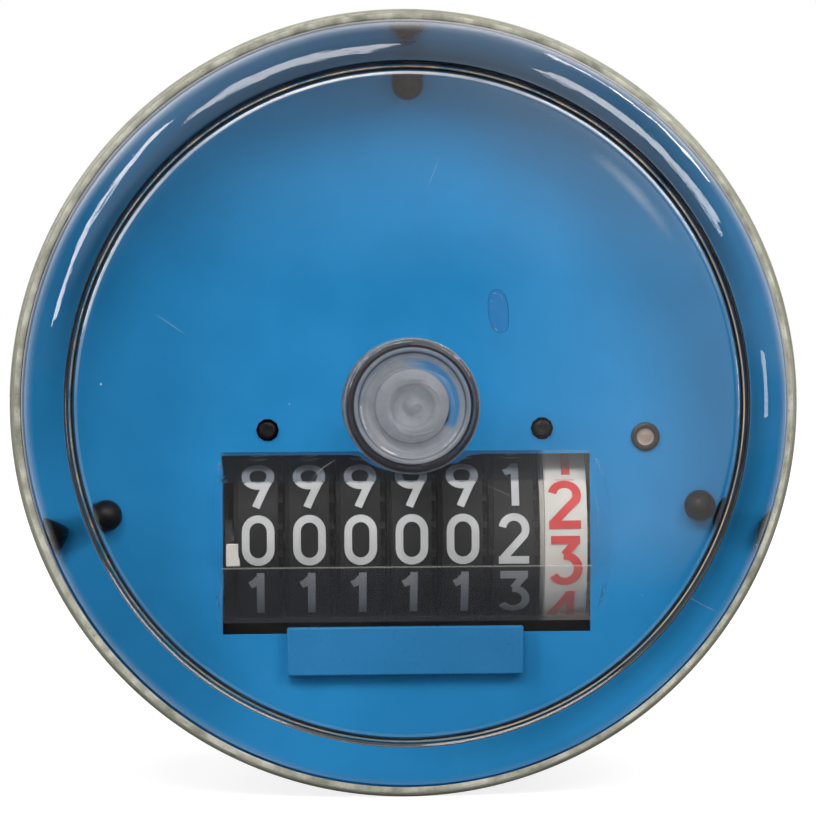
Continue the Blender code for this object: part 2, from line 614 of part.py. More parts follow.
def combine(mesh, others, operation):
    """Joins or cuts a mesh with each of the others, one Boolean after another."""
    blank = bpy.data.objects.new("blank", mesh)
    bpy.context.scene.collection.objects.link(blank)
    tools = []
    for other in others:
        tool = bpy.data.objects.new("tool", other)
        CUTTERS.objects.link(tool)
        tool.hide_render = True
        tool.display_type = "WIRE"
        step = blank.modifiers.new("step", "BOOLEAN")
        step.operation = operation
        step.object = tool
        tools.append(tool)
    result = freeze(blank)
    for tool in tools:
        bpy.data.objects.remove(tool, do_unlink=True)
    return result


def join(mesh, *others):
    return combine(mesh, others, "UNION")


def cut(mesh, *others):
    return combine(mesh, others, "DIFFERENCE")


def moved(mesh, *steps):
    """The mesh after one or more transforms, applied in the order given."""
    for step in steps:
        mesh.transform(step)
    return mesh


def shift(across=0.0, along=0.0, up=0.0):
    return Matrix.Translation((across, along, up))


def arc(centre, radius, start, end, count):
    """Points of an arc about a centre, both ends included."""
    points = []
    for index in range(count):
        angle = start + (end - start) * index / (count - 1)
        points.append((centre[0] + radius * math.cos(angle), centre[1] + radius * math.sin(angle)))
    return points


def circle(centre, radius, count):
    return arc(centre, radius, 0, FULL_TURN * (count - 1) / count, count)


def gear_outline(teeth, tip, root, turn=0.0):
    """Straight-flanked teeth, the first one centred on the turn angle."""
    points = []
    step = FULL_TURN / teeth
    for tooth in range(teeth):
        centre = turn + tooth * step
        for radius, share in ((root, -TOOTH_ROOT_SHARE), (tip, -TOOTH_TIP_SHARE),
                              (tip, TOOTH_TIP_SHARE), (root, TOOTH_ROOT_SHARE)):
            angle = centre + share * step / 2
            points.append((radius * math.cos(angle), radius * math.sin(angle)))
    return points


def twist(mesh, rate):
    """Turns each level of a mesh about Z in proportion to its height."""
    for vertex in mesh.vertices:
        vertex.co = Matrix.Rotation(rate * vertex.co.z, 3, "Z") @ vertex.co
    return mesh


def thread_mesh(root, tip, pitch, turns, start, crest_share, flank_share, steps):
    """One closed helical ridge, right-handed about Z, its middle at the start height."""
    sink = root - THREAD_SINK
    body = bmesh.new()
    corners = []
    for radius, half in ((sink, flank_share), (tip, crest_share), (tip, -crest_share),
                         (sink, -flank_share)):
        corners.append(body.verts.new((radius, 0, start + half * pitch)))
    face = body.faces.new(corners)
    bmesh.ops.spin(body, geom=[face], cent=(0, 0, 0), axis=(0, 0, 1),
                   dvec=(0, 0, pitch / steps), angle=FULL_TURN * turns, steps=steps * turns)
    bmesh.ops.remove_doubles(body, verts=body.verts, dist=MERGE)
    bmesh.ops.recalc_face_normals(body, faces=body.faces)
    mesh = bpy.data.meshes.new("thread")
    body.to_mesh(mesh)
    body.free()
    return mesh


def bored(mesh, radius, bottom, top):
    """The mesh with one round bore along its own Z."""
    return cut(mesh, ring_mesh(radius, 0, bottom - GAP, top + GAP, TINY_STEPS))


def worm_mesh(pitch, radius, turns, core, core_radius, phase):
    """A worm's thread on its core; a crest crosses +X at the phase height."""
    tip = radius + ADDENDUM_SHARE * pitch
    start = phase - turns * pitch / 2
    ridge = thread_mesh(core_radius, tip, pitch, turns, start, CREST_HALF_SHARE,
                        FLANK_HALF_SHARE, THREAD_STEPS)
    return join(core, ridge)


def finished(name, mesh):
    mesh.name = name
    return bpy.data.objects.new(name, mesh)


# Housing side, which turns with the wheel

def build_housing():
    rounding = arc((BODY_RADIUS - BACK_ROUNDING, BACK_DEPTH - BACK_ROUNDING), BACK_ROUNDING,
                   QUARTER_TURN, 0, BACK_ROUNDING_POINTS)
    points = [(0, HUB_DEPTH - STUD_SHANK_LENGTH - GAP)]
    points.append((STUD_SHANK_RADIUS + GAP, HUB_DEPTH - STUD_SHANK_LENGTH - GAP))
    points.append((STUD_SHANK_RADIUS + GAP, HUB_DEPTH - STUD_RELIEF_DEPTH))
    points.append((STUD_RADIUS + STUD_RELIEF_GAP, HUB_DEPTH - STUD_RELIEF_DEPTH))
    points.append((STUD_RADIUS + STUD_RELIEF_GAP, HUB_DEPTH))
    points.append((HUB_RADIUS, HUB_DEPTH))
    points.append((HUB_RADIUS, BACK_DEPTH + HUB_FILLET))
    points.append((HUB_RADIUS + HUB_FILLET, BACK_DEPTH))
    points.extend(rounding)
    points.append((BODY_RADIUS, BAND_DEPTH + BAND_SLOPE))
    points.append((RIM_RADIUS, BAND_DEPTH))
    points.append((RIM_RADIUS, RIM_ROUNDING))
    points.append((RIM_RADIUS - RIM_ROUNDING, 0))
    points.append((LIP_RADIUS, 0))
    points.append((LIP_RADIUS, LIP_DEPTH))
    points.append((SEAT_RADIUS, LIP_DEPTH))
    points.append((SEAT_RADIUS, SEAT_DEPTH))
    points.append((CHAMBER_RADIUS, SEAT_DEPTH))
    points.append((CHAMBER_RADIUS, CHAMBER_DEPTH - CHAMBER_CORNER))
    points.append((CHAMBER_RADIUS - CHAMBER_CORNER, CHAMBER_DEPTH))
    points.append((AXLE_RADIUS + GAP, CHAMBER_DEPTH))
    points.append((AXLE_RADIUS + GAP, CHAMBER_DEPTH + AXLE_SOCKET_DEPTH))
    points.append((0, CHAMBER_DEPTH + AXLE_SOCKET_DEPTH))
    mesh = turned_mesh(points, LARGE_STEPS, closed=False)
    place(finished("housing", mesh), "zinc_casting", (0, 0, 0), "Y", ORIGIN)


def build_cover():
    shoulder = SHOULDER_RADIUS
    inner_face = -FACE_HEIGHT + FACE_WALL
    inner_shoulder = INNER_SHOULDER_RADIUS
    points = [(FOOT_RADIUS, FOOT_BACK), (FOOT_RADIUS, FOOT_FRONT), (COVER_RADIUS, FOOT_FRONT)]
    points.extend(arc((FACE_RADIUS, -FACE_HEIGHT + shoulder), shoulder, 0, -QUARTER_TURN,
                      SHOULDER_POINTS))
    points.append((BOSS_RADIUS + BOSS_ROUNDING, -FACE_HEIGHT))
    points.append((BOSS_RADIUS, -FACE_HEIGHT - BOSS_ROUNDING))
    points.append((BOSS_RADIUS, -BOSS_HEIGHT + BOSS_ROUNDING))
    points.append((BOSS_RADIUS - BOSS_ROUNDING, -BOSS_HEIGHT))
    points.append((0, -BOSS_HEIGHT))
    inner = [(0, -BOSS_HEIGHT + BOSS_END_WALL), (BOSS_BORE_RADIUS, -BOSS_HEIGHT + BOSS_END_WALL)]
    inner.append((BOSS_BORE_RADIUS, inner_face))
    inner.extend(arc((INNER_FACE_RADIUS, inner_face + inner_shoulder), inner_shoulder,
                     -QUARTER_TURN, 0, INNER_SHOULDER_POINTS))
    inner.append((COVER_RADIUS - COVER_WALL, FOOT_BACK))
    mesh = turned_mesh(inner + points, LARGE_STEPS, closed=False)
    place(finished("front_cover", mesh), "clear_plastic", (0, 0, 0), "Y", ORIGIN)


def build_seal():
    middle = FOOT_BACK + GAP + SEAL_THICKNESS / 2
    section = circle((SEAL_RADIUS, middle), SEAL_THICKNESS / 2, SEAL_RING_STEPS)
    mesh = turned_mesh(section[::-1], MIDDLE_STEPS, closed=True)
    place(finished("cover_seal", mesh), "rubber", (0, 0, 0), "Y", ORIGIN)


def build_axle():
    front = -BOSS_HEIGHT + BOSS_END_WALL + GAP
    back = CHAMBER_DEPTH + AXLE_SOCKET_DEPTH - GAP
    points = [(0, back), (AXLE_RADIUS - AXLE_CHAMFER, back), (AXLE_RADIUS, back - AXLE_CHAMFER)]
    points.append((AXLE_RADIUS, front + AXLE_NOSE_LENGTH + AXLE_NOSE_RADIUS - AXLE_RADIUS))
    points.append((AXLE_NOSE_RADIUS, front + AXLE_NOSE_LENGTH))
    points.append((AXLE_NOSE_RADIUS, front + AXLE_CHAMFER))
    points.append((AXLE_NOSE_RADIUS - AXLE_CHAMFER, front))
    points.append((0, front))
    mesh = turned_mesh(points, MIDDLE_STEPS, closed=False)
    place(finished("main_axle", mesh), "steel", (0, 0, 0), "Y", ORIGIN)
    bush_front = front + AXLE_CHAMFER + GAP
    inner = AXLE_NOSE_RADIUS + GAP
    outer = BOSS_BORE_RADIUS - GAP
    bush = ring_mesh(outer, inner, bush_front, bush_front + FRONT_BUSH_LENGTH)
    place(finished("front_bushing", bush), "nylon", (0, 0, 0), "Y", ORIGIN)


def build_drive_worm():
    half = WORM_TURNS * WORM_PITCH / 2 + WORM_BODY_MARGIN
    bore = AXLE_RADIUS + GAP
    sleeve = WORM_RADIUS - DEDENDUM_SHARE * WORM_PITCH
    points = [(WORM_COLLAR_RADIUS, half), (WORM_COLLAR_RADIUS, half - WORM_COLLAR_LENGTH)]
    points.append((sleeve, half - WORM_COLLAR_LENGTH))
    points.append((sleeve, -half))
    points.append((bore, -half))
    points.append((bore, half))
    core = turned_mesh(points, SMALL_STEPS, closed=True)
    crest = WORM_PITCH / 2
    mesh = worm_mesh(WORM_PITCH, WORM_RADIUS, WORM_TURNS - 1, core, sleeve, crest)
    place(finished("drive_worm", mesh), "brass", (0, CROSS_Y, 0), "Y", ORIGIN)


def build_stud():
    shank_front = HUB_DEPTH - STUD_SHANK_LENGTH
    thread_front = HUB_DEPTH + GAP
    points = [(0, STUD_END), (STUD_ROOT_RADIUS - STUD_CHAMFER, STUD_END)]
    points.append((STUD_ROOT_RADIUS, STUD_END - STUD_CHAMFER))
    points.append((STUD_ROOT_RADIUS, thread_front))
    points.append((STUD_SHANK_RADIUS, thread_front))
    points.append((STUD_SHANK_RADIUS, shank_front))
    points.append((0, shank_front))
    core = turned_mesh(points, SMALL_STEPS, closed=False)
    start = thread_front + STUD_PITCH / 2
    ridge = thread_mesh(STUD_ROOT_RADIUS, STUD_RADIUS, STUD_PITCH, STUD_THREAD_TURNS, start,
                        STUD_CREST_HALF_SHARE, STUD_FLANK_HALF_SHARE, THREAD_STEPS)
    mesh = join(core, ridge)
    place(finished("mounting_stud", mesh), "steel", (0, 0, 0), "Y", ORIGIN)


def build_nut_and_washer():
    washer_front = HUB_DEPTH + BRACKET_SPACE + GAP
    bore = STUD_RADIUS + GAP
    washer = ring_mesh(WASHER_RADIUS, bore, washer_front, washer_front + WASHER_THICKNESS)
    slit = box_mesh((0, -WASHER_SLIT / 2, -WASHER_THICKNESS),
                    (HUB_RADIUS, WASHER_SLIT / 2, 2 * WASHER_THICKNESS))
    slit = moved(slit, shift(up=-WASHER_THICKNESS / 2), Matrix.Rotation(WASHER_SLIT_TILT, 4, "X"),
                 shift(up=washer_front + WASHER_THICKNESS / 2))
    place(finished("lock_washer", cut(washer, slit)), "steel", (0, 0, 0), "Y", ORIGIN)
    nut_front = washer_front + WASHER_THICKNESS + GAP
    nut_back = nut_front + NUT_THICKNESS
    corner = NUT_ACROSS_FLATS / 2 / math.cos(math.pi / NUT_CORNER_COUNT)
    hexagon = plate_mesh([circle((0, 0), corner, NUT_CORNER_COUNT)], nut_front, nut_back)
    flat = NUT_ACROSS_FLATS / 2
    dressing = [(bore, nut_back), (flat, nut_back), (flat + NUT_CHAMFER, nut_back - NUT_CHAMFER / 2)]
    dressing.append((corner + NUT_CHAMFER, nut_back - NUT_CHAMFER))
    dressing.append((corner + NUT_CHAMFER, nut_front))
    dressing.append((bore, nut_front))
    blank = turned_mesh(dressing, MIDDLE_STEPS, closed=True)
    nut = combine(hexagon, [blank], "INTERSECT")
    place(finished("mounting_nut", nut), "steel", (0, 0, 0), "Y", ORIGIN)


# Hanging side: plates, dial and weight. Their outlines are drawn as (X, Z) pairs, and a
# plate laid along Y has its own Y pointing down, so the second value is turned over

def faced(outline):
    return [(across, -up) for across, up in outline]


def window_corners(left, right, top, bottom):
    return [(left, top), (left, bottom), (right, bottom), (right, top)]


def lobe_arc(radius, top, right_angle):
    """The window's top edge round the hub, from the right angle to the left of the top edge."""
    left_angle = -math.acos(-top / radius)
    points = []
    for index in range(LOBE_POINTS):
        angle = right_angle + (left_angle - right_angle) * index / (LOBE_POINTS - 1)
        points.append((radius * math.sin(angle), -radius * math.cos(angle)))
    return points


def dial_window():
    """The window in the dial, with a fillet where the lobe's right side meets the top edge."""
    corners = window_corners(WINDOW_LEFT, WINDOW_RIGHT, WINDOW_TOP, WINDOW_BOTTOM)
    centre = (WINDOW_FILLET_X, WINDOW_TOP - WINDOW_FILLET)
    end = math.atan2(-centre[1], -centre[0])
    fillet = arc(centre, WINDOW_FILLET, QUARTER_TURN, end, WINDOW_FILLET_POINTS)
    return corners + fillet + lobe_arc(LOBE_RADIUS, WINDOW_TOP, LOBE_RIGHT_ANGLE)


def frame_window():
    corners = window_corners(FRAME_WINDOW_LEFT, FRAME_WINDOW_RIGHT, FRAME_WINDOW_TOP,
                             FRAME_WINDOW_BOTTOM)
    right_angle = math.acos(-FRAME_WINDOW_TOP / FRAME_LOBE_RADIUS)
    return corners + lobe_arc(FRAME_LOBE_RADIUS, FRAME_WINDOW_TOP, right_angle)


def plate_holes():
    """Holes that the dial and the front plate share: hub, pins, pegs and eyelet."""
    holes = [circle((0, 0), BUSH_RADIUS + GAP, SMALL_STEPS)]
    for across, up in PIN_PLACES.values():
        holes.append(circle((across, up), PIN_SHANK_RADIUS + GAP, TINY_STEPS))
    for across, up in PEG_PLACES.values():
        holes.append(circle((across, up), PEG_RADIUS + GAP, TINY_STEPS))
    holes.append(circle(EYELET_PLACE, EYELET_TUBE_RADIUS + GAP, TINY_STEPS))
    return holes


def build_dial():
    outlines = [circle((0, 0), DIAL_RADIUS, DIAL_POINTS), dial_window(), *plate_holes()]
    mesh = plate_mesh([faced(outline) for outline in outlines], 0, DIAL_THICKNESS)
    place(finished("dial_plate", mesh), "blue_paint", (0, DIAL_FRONT, 0), "Y", PENDULUM)


def build_frame_front():
    outlines = [circle((0, 0), FRAME_RADIUS, DIAL_POINTS), frame_window(), *plate_holes()]
    for across, up in POST_PLACES.values():
        outlines.append(circle((across, up), SCREW_RADIUS + GAP, TINY_STEPS))
    mesh = plate_mesh([faced(outline) for outline in outlines], 0, FRAME_FRONT_THICKNESS)
    place(finished("frame_front", mesh), "frame_steel", (0, FRAME_FRONT, 0), "Y", PENDULUM)


def build_unit_plate():
    half_width = UNIT_PLATE_WIDTH / 2
    half_height = UNIT_PLATE_HEIGHT / 2
    mesh = box_mesh((-half_width, -UNIT_PLATE_THICKNESS, -half_height), (half_width, 0, half_height))
    plate = finished("unit_plate", mesh)
    place(plate, "blue_paint", (0, DIAL_FRONT - GAP, UNIT_PLATE_CENTRE), "Z", PENDULUM)
    edges = plate.modifiers.new("edges", "BEVEL")
    edges.width = UNIT_PLATE_BEVEL
    edges.segments = 2


def build_pins():
    for side, (across, up) in PIN_PLACES.items():
        shank = PIN_TOP_SHANK if side == "top" else PIN_SIDE_SHANK
        dome = []
        for index in range(PIN_HEAD_POINTS):
            angle = QUARTER_TURN * index / (PIN_HEAD_POINTS - 1)
            dome.append((PIN_HEAD_RADIUS * math.cos(angle), -PIN_HEAD_HEIGHT * math.sin(angle)))
        dome[-1] = (0, -PIN_HEAD_HEIGHT)
        points = [(0, shank), (PIN_SHANK_RADIUS, shank), (PIN_SHANK_RADIUS, 0), *dome]
        mesh = turned_mesh(points, TINY_STEPS, closed=False)
        pin = finished("dial_pin_" + side, mesh)
        place(pin, "black_plastic", (across, DIAL_FRONT - GAP, up), "Y", PENDULUM)


def build_pegs_and_eyelet():
    for side, (across, up) in PEG_PLACES.items():
        length = DIAL_THICKNESS + GAP + FRAME_FRONT_THICKNESS
        mesh = ring_mesh(PEG_RADIUS, 0, -PEG_PROUD, length, TINY_STEPS)
        peg = finished("dial_peg_" + side, mesh)
        place(peg, "black_plastic", (across, DIAL_FRONT, up), "Y", PENDULUM)
    back = DIAL_THICKNESS + GAP + FRAME_FRONT_THICKNESS + GAP + EYELET_FLANGE
    front = -GAP - EYELET_FLANGE
    points = [(EYELET_RADIUS, back), (EYELET_RADIUS, back - EYELET_FLANGE)]
    points.append((EYELET_TUBE_RADIUS, back - EYELET_FLANGE))
    points.append((EYELET_TUBE_RADIUS, front + EYELET_FLANGE))
    points.append((EYELET_RADIUS, front + EYELET_FLANGE))
    points.append((EYELET_RADIUS, front))
    points.append((EYELET_BORE_RADIUS, front))
    points.append((EYELET_BORE_RADIUS, back))
    mesh = turned_mesh(points, TINY_STEPS, closed=True)
    location = (EYELET_PLACE[0], DIAL_FRONT, EYELET_PLACE[1])
    place(finished("dial_eyelet", mesh), "steel", location, "Y", PENDULUM)


def shield_block(inset, back):
    """Solid with a flat band in front and a slope on every side, drawn in by the inset."""
    body = bmesh.new()
    bmesh.ops.create_cube(body, size=1)
    for vertex in body.verts:
        front = vertex.co.y < 0
        slope = SHIELD_END_SLOPE if front else 0
        right = vertex.co.x > 0
        high = vertex.co.z > 0
        vertex.co.x = SHIELD_RIGHT - slope - inset if right else SHIELD_LEFT + slope + inset
        vertex.co.y = inset - SHIELD_HEIGHT if front else back
        top = SHIELD_FACE_TOP if front else SHIELD_TOP
        bottom = SHIELD_FACE_BOTTOM if front else SHIELD_BOTTOM
        vertex.co.z = top - inset if high else bottom + inset
    mesh = bpy.data.meshes.new("shield")
    body.to_mesh(mesh)
    body.free()
    return mesh


def build_shield():
    """Clear shell over the wheels, open at the back."""
    mesh = cut(shield_block(0, 0), shield_block(SHIELD_WALL, 2 * GAP))
    place(finished("counter_lens", mesh), "clear_plastic", (0, DIAL_FRONT - GAP, 0), "Z", PENDULUM)


def build_bushes():
    """Flanged bushes in the front and rear plates, on which the hanging side turns."""
    bore = AXLE_RADIUS + RUNNING_GAP
    spans = {
        "front_hub_bush": (DIAL_FRONT, FRAME_BACK),
        "rear_hub_bush": (REAR_PLATE_FRONT, REAR_PLATE_BACK),
    }
    for name, (plate_front, plate_back) in spans.items():
        flange_back = plate_front - GAP
        flange_front = flange_back - BUSH_FLANGE_THICKNESS
        back = plate_back + BUSH_OVERHANG
        points = [(BUSH_RADIUS, back), (BUSH_RADIUS, flange_back)]
        points.append((BUSH_FLANGE_RADIUS, flange_back))
        points.append((BUSH_FLANGE_RADIUS, flange_front))
        points.append((bore, flange_front))
        points.append((bore, back))
        mesh = turned_mesh(points, SMALL_STEPS, closed=True)
        place(finished(name, mesh), "brass", (0, 0, 0), "Y", PENDULUM)


def build_frame_rear():
    left, right = REAR_PLATE_LEFT, REAR_PLATE_RIGHT
    top, bottom, corner = REAR_PLATE_TOP, REAR_PLATE_BOTTOM, REAR_PLATE_CORNER
    outline = [(left + corner, top), (right - corner, top), (right, top - corner)]
    outline += [(right, bottom + corner), (right - corner, bottom), (left + corner, bottom)]
    outline += [(left, bottom + corner), (left, top - corner)]
    outlines = [outline]
    outlines.append(circle((0, 0), BUSH_RADIUS + GAP, SMALL_STEPS))
    for across, up in (*POST_PLACES.values(), *WEIGHT_SCREW_PLACES.values()):
        outlines.append(circle((across, up), SCREW_RADIUS + GAP, TINY_STEPS))
    plate = plate_mesh([faced(points) for points in outlines], REAR_PLATE_FRONT, REAR_PLATE_BACK)
    plate = moved(plate, lay("Y"))
    sink = REAR_PLATE_THICKNESS / 2
    shelves = []
    for bottom in (UPPER_SHELF_BOTTOM, LOWER_SHELF_BOTTOM):
        shelf = box_mesh((SHELF_LEFT, SHELF_FRONT, bottom),
                         (SHELF_RIGHT, REAR_PLATE_FRONT + sink, bottom + SHELF_THICKNESS))
        stub_hole = ring_mesh(STUB_RADIUS + GAP, 0, bottom - GAP, bottom + SHELF_THICKNESS + GAP,
                              TINY_STEPS)
        shaft_hole = ring_mesh(CROSS_SHAFT_RADIUS + RUNNING_GAP, 0, bottom - GAP,
                               bottom + SHELF_THICKNESS + GAP, TINY_STEPS)
        moved(stub_hole, shift(STUB_X, CROSS_Y))
        moved(shaft_hole, shift(TENTHS_GEAR_X, CROSS_Y))
        shelves.append(cut(shelf, stub_hole, shaft_hole))
    mesh = join(plate, *shelves)
    place(finished("frame_rear", mesh), "frame_steel", (0, 0, 0), "Z", PENDULUM)


def build_posts_and_screws():
    front = FRAME_BACK + GAP
    back = REAR_PLATE_FRONT - GAP
    for side, (across, up) in POST_PLACES.items():
        points = [(POST_RADIUS, back), (POST_RADIUS, front), (0, front)]
        inner = [(0, back - POST_BORE_DEPTH), (POST_BORE_RADIUS, back - POST_BORE_DEPTH)]
        inner.append((POST_BORE_RADIUS, back))
        mesh = turned_mesh(inner + points, TINY_STEPS, closed=False)
        post = finished("post_" + side, mesh)
        place(post, "steel", (across, 0, up), "Y", PENDULUM)
    seats = {"post_screw_" + side: spot for side, spot in POST_PLACES.items()}
    seats.update({"weight_screw_" + side: spot for side, spot in WEIGHT_SCREW_PLACES.items()})
    for name, (across, up) in seats.items():
        head = REAR_PLATE_BACK + GAP
        points = [(0, head + SCREW_HEAD_HEIGHT), (SCREW_HEAD_RADIUS, head + SCREW_HEAD_HEIGHT)]
        points.append((SCREW_HEAD_RADIUS, head))
        points.append((SCREW_RADIUS, head))
        points.append((SCREW_RADIUS, head - SCREW_LENGTH))
        points.append((0, head - SCREW_LENGTH))
        body = turned_mesh(points, TINY_STEPS, closed=False)
        slot_floor = head + SCREW_HEAD_HEIGHT - SCREW_SLOT_DEPTH
        slot = box_mesh((-SCREW_HEAD_RADIUS - GAP, -SCREW_SLOT_WIDTH / 2, slot_floor),
                        (SCREW_HEAD_RADIUS + GAP, SCREW_SLOT_WIDTH / 2, head + 2 * SCREW_HEAD_HEIGHT))
        screw = finished(name, cut(body, slot))
        place(screw, "steel", (across, 0, up), "Y", PENDULUM)


def build_weight():
    """Casting round the wheels: outer arc, then the pocket with its two chamfered corners."""
    drop = math.asin(-WEIGHT_TOP / WEIGHT_RADIUS)
    outline = arc((0, 0), WEIGHT_RADIUS, math.pi + drop, FULL_TURN - drop, WEIGHT_POINTS)
    outline.append((POCKET_RIGHT, WEIGHT_TOP))
    outline.append((POCKET_RIGHT, POCKET_BOTTOM + POCKET_CHAMFER_RIGHT))
    outline.append((POCKET_RIGHT - POCKET_CHAMFER_RIGHT, POCKET_BOTTOM))
    outline.append((POCKET_LEFT + POCKET_CHAMFER_LEFT, POCKET_BOTTOM))
    outline.append((POCKET_LEFT, POCKET_BOTTOM + POCKET_CHAMFER_LEFT))
    outline.append((POCKET_LEFT, WEIGHT_TOP))
    front = FRAME_BACK + GAP
    mesh = moved(plate_mesh([faced(outline)], front, WEIGHT_BACK), lay("Y"))
    cutters = []
    for side in ("left", "right"):
        across, up = PIN_PLACES[side]
        bore = ring_mesh(PIN_SHANK_RADIUS + GAP, 0, front - GAP,
                         DIAL_FRONT + PIN_SIDE_SHANK + GAP, TINY_STEPS)
        cutters.append(moved(bore, lay("Y"), shift(across, 0, up)))
        across, up = WEIGHT_SCREW_PLACES[side]
        bore = ring_mesh(SCREW_RADIUS + GAP, 0, REAR_PLATE_BACK - SCREW_LENGTH - GAP,
                         WEIGHT_BACK + GAP, TINY_STEPS)
        cutters.append(moved(bore, lay("Y"), shift(across, 0, up)))
    for radius, along, up in ((NUMBER_SHAFT_RADIUS, NUMBER_AXIS_Y, NUMBER_AXIS_Z),
                              (PINION_SHAFT_RADIUS, PINION_AXIS_Y, PINION_AXIS_Z)):
        bore = ring_mesh(radius + GAP, 0, -DIAL_RADIUS, DIAL_RADIUS, TINY_STEPS)
        cutters.append(moved(bore, lay("X"), shift(0, along, up)))
    for low, high in ((-DIAL_RADIUS, CLIP_RECESS_LEFT), (CLIP_RECESS_RIGHT, DIAL_RADIUS)):
        recess = ring_mesh(CLIP_RECESS_RADIUS, 0, low, high, SMALL_STEPS)
        cutters.append(moved(recess, lay("X"), shift(0, NUMBER_AXIS_Y, NUMBER_AXIS_Z)))
    mesh = cut(mesh, *cutters)
    place(finished("counterweight", mesh), "lead_alloy", (0, 0, 0), "Z", PENDULUM)


def build_shafts():
    mesh = ring_mesh(NUMBER_SHAFT_RADIUS, 0, NUMBER_SHAFT_LEFT, NUMBER_SHAFT_RIGHT, TINY_STEPS)
    number_axis = (0, NUMBER_AXIS_Y, NUMBER_AXIS_Z)
    place(finished("number_shaft", mesh), "steel", number_axis, "X", PENDULUM)
    mesh = ring_mesh(PINION_SHAFT_RADIUS, 0, PINION_SHAFT_LEFT, PINION_SHAFT_RIGHT, TINY_STEPS)
    place(finished("pinion_shaft", mesh), "steel", (0, PINION_AXIS_Y, PINION_AXIS_Z), "X", PENDULUM)
    faces = {"left": CLIP_RECESS_LEFT - GAP - CLIP_THICKNESS, "right": CLIP_RECESS_RIGHT + GAP}
    for side, face in faces.items():
        mesh = ring_mesh(CLIP_RADIUS, NUMBER_SHAFT_RADIUS + GAP, face, face + CLIP_THICKNESS,
                         SMALL_STEPS)
        opening = box_mesh((0, -CLIP_OPENING / 2, face - GAP),
                           (2 * CLIP_RADIUS, CLIP_OPENING / 2, face + CLIP_THICKNESS + GAP))
        clip = finished("shaft_clip_" + side, cut(mesh, opening))
        place(clip, "steel", number_axis, "X", PENDULUM)
    first_face = WHEEL_FIRST_X - RIM_WIDTH / 2 - SIDE_WIDTH - GAP
    collar = ring_mesh(COLLAR_RADIUS, NUMBER_SHAFT_RADIUS + GAP, POCKET_LEFT + GAP, first_face,
                       SMALL_STEPS)
    place(finished("shaft_collar", collar), "white_plastic", number_axis, "X", PENDULUM)


def build_bearing():
    """Block on the weight's right wall that holds the cross shaft's lower end."""
    left = TENTHS_GEAR_X - BEARING_WIDTH / 2
    right = POCKET_RIGHT - GAP
    block = box_mesh((left, CROSS_Y - BEARING_DEPTH / 2, BEARING_BOTTOM),
                     (right, CROSS_Y + BEARING_DEPTH / 2, BEARING_BOTTOM + BEARING_HEIGHT))
    bore = ring_mesh(CROSS_SHAFT_RADIUS + RUNNING_GAP, 0, BEARING_BOTTOM - GAP,
                     BEARING_BOTTOM + BEARING_HEIGHT + GAP, TINY_STEPS)
    moved(bore, shift(TENTHS_GEAR_X, CROSS_Y))
    mesh = cut(block, bore)
    place(finished("cross_bearing", mesh), "brass", (0, 0, 0), "Z", PENDULUM)
    stub = ring_mesh(STUB_RADIUS, 0, STUB_BOTTOM, STUB_TOP, TINY_STEPS)
    place(finished("gear_stub", stub), "steel", (STUB_X, CROSS_Y, 0), "Z", PENDULUM)


# Gears between the axle and the tenths wheel

def build_drive_gears():
    addendum = ADDENDUM_SHARE * WORM_PITCH
    dedendum = DEDENDUM_SHARE * WORM_PITCH
    half = DRIVE_GEAR_WIDTH / 2
    outline = gear_outline(DRIVE_GEAR_TEETH, DRIVE_GEAR_RADIUS + addendum,
                           DRIVE_GEAR_RADIUS - dedendum, math.pi)
    bore = circle((0, 0), STUB_RADIUS + RUNNING_GAP, TINY_STEPS)
    mesh = plate_mesh([outline, bore], -half, half)
    lead = WORM_PITCH / (FULL_TURN * WORM_RADIUS)
    mesh = twist(mesh, lead / DRIVE_GEAR_RADIUS)
    place(finished("drive_gear", mesh), "brass", (STUB_X, CROSS_Y, 0), "Z", PENDULUM)
    module = 2 * TRANSFER_RADIUS / TRANSFER_TEETH
    tip = TRANSFER_RADIUS + TRANSFER_ADDENDUM_SHARE * module
    root = TRANSFER_RADIUS - TRANSFER_DEDENDUM_SHARE * module
    top = TRANSFER_BOTTOM + TRANSFER_WIDTH
    outline = gear_outline(TRANSFER_TEETH, tip, root)
    hub_top = TRANSFER_BOTTOM + TRANSFER_WIDTH / 2
    mesh = plate_mesh([outline], TRANSFER_BOTTOM, top)
    hub = ring_mesh(GEAR_HUB_RADIUS, 0, half + GAP, hub_top, TINY_STEPS)
    mesh = bored(join(mesh, hub), STUB_RADIUS + RUNNING_GAP, half, top)
    place(finished("transfer_gear", mesh), "brass", (STUB_X, CROSS_Y, 0), "Z", PENDULUM)
    outline = gear_outline(TRANSFER_TEETH, tip, root, math.pi + math.pi / TRANSFER_TEETH)
    hub_bottom = LOWER_SHELF_BOTTOM + SHELF_THICKNESS + RUNNING_GAP
    mesh = plate_mesh([outline], TRANSFER_BOTTOM, top)
    hub = ring_mesh(GEAR_HUB_RADIUS, 0, hub_bottom, hub_top, TINY_STEPS)
    mesh = bored(join(mesh, hub), CROSS_SHAFT_RADIUS + GAP, hub_bottom, top)
    place(finished("cross_gear", mesh), "brass", (TENTHS_GEAR_X, CROSS_Y, 0), "Z", PENDULUM)


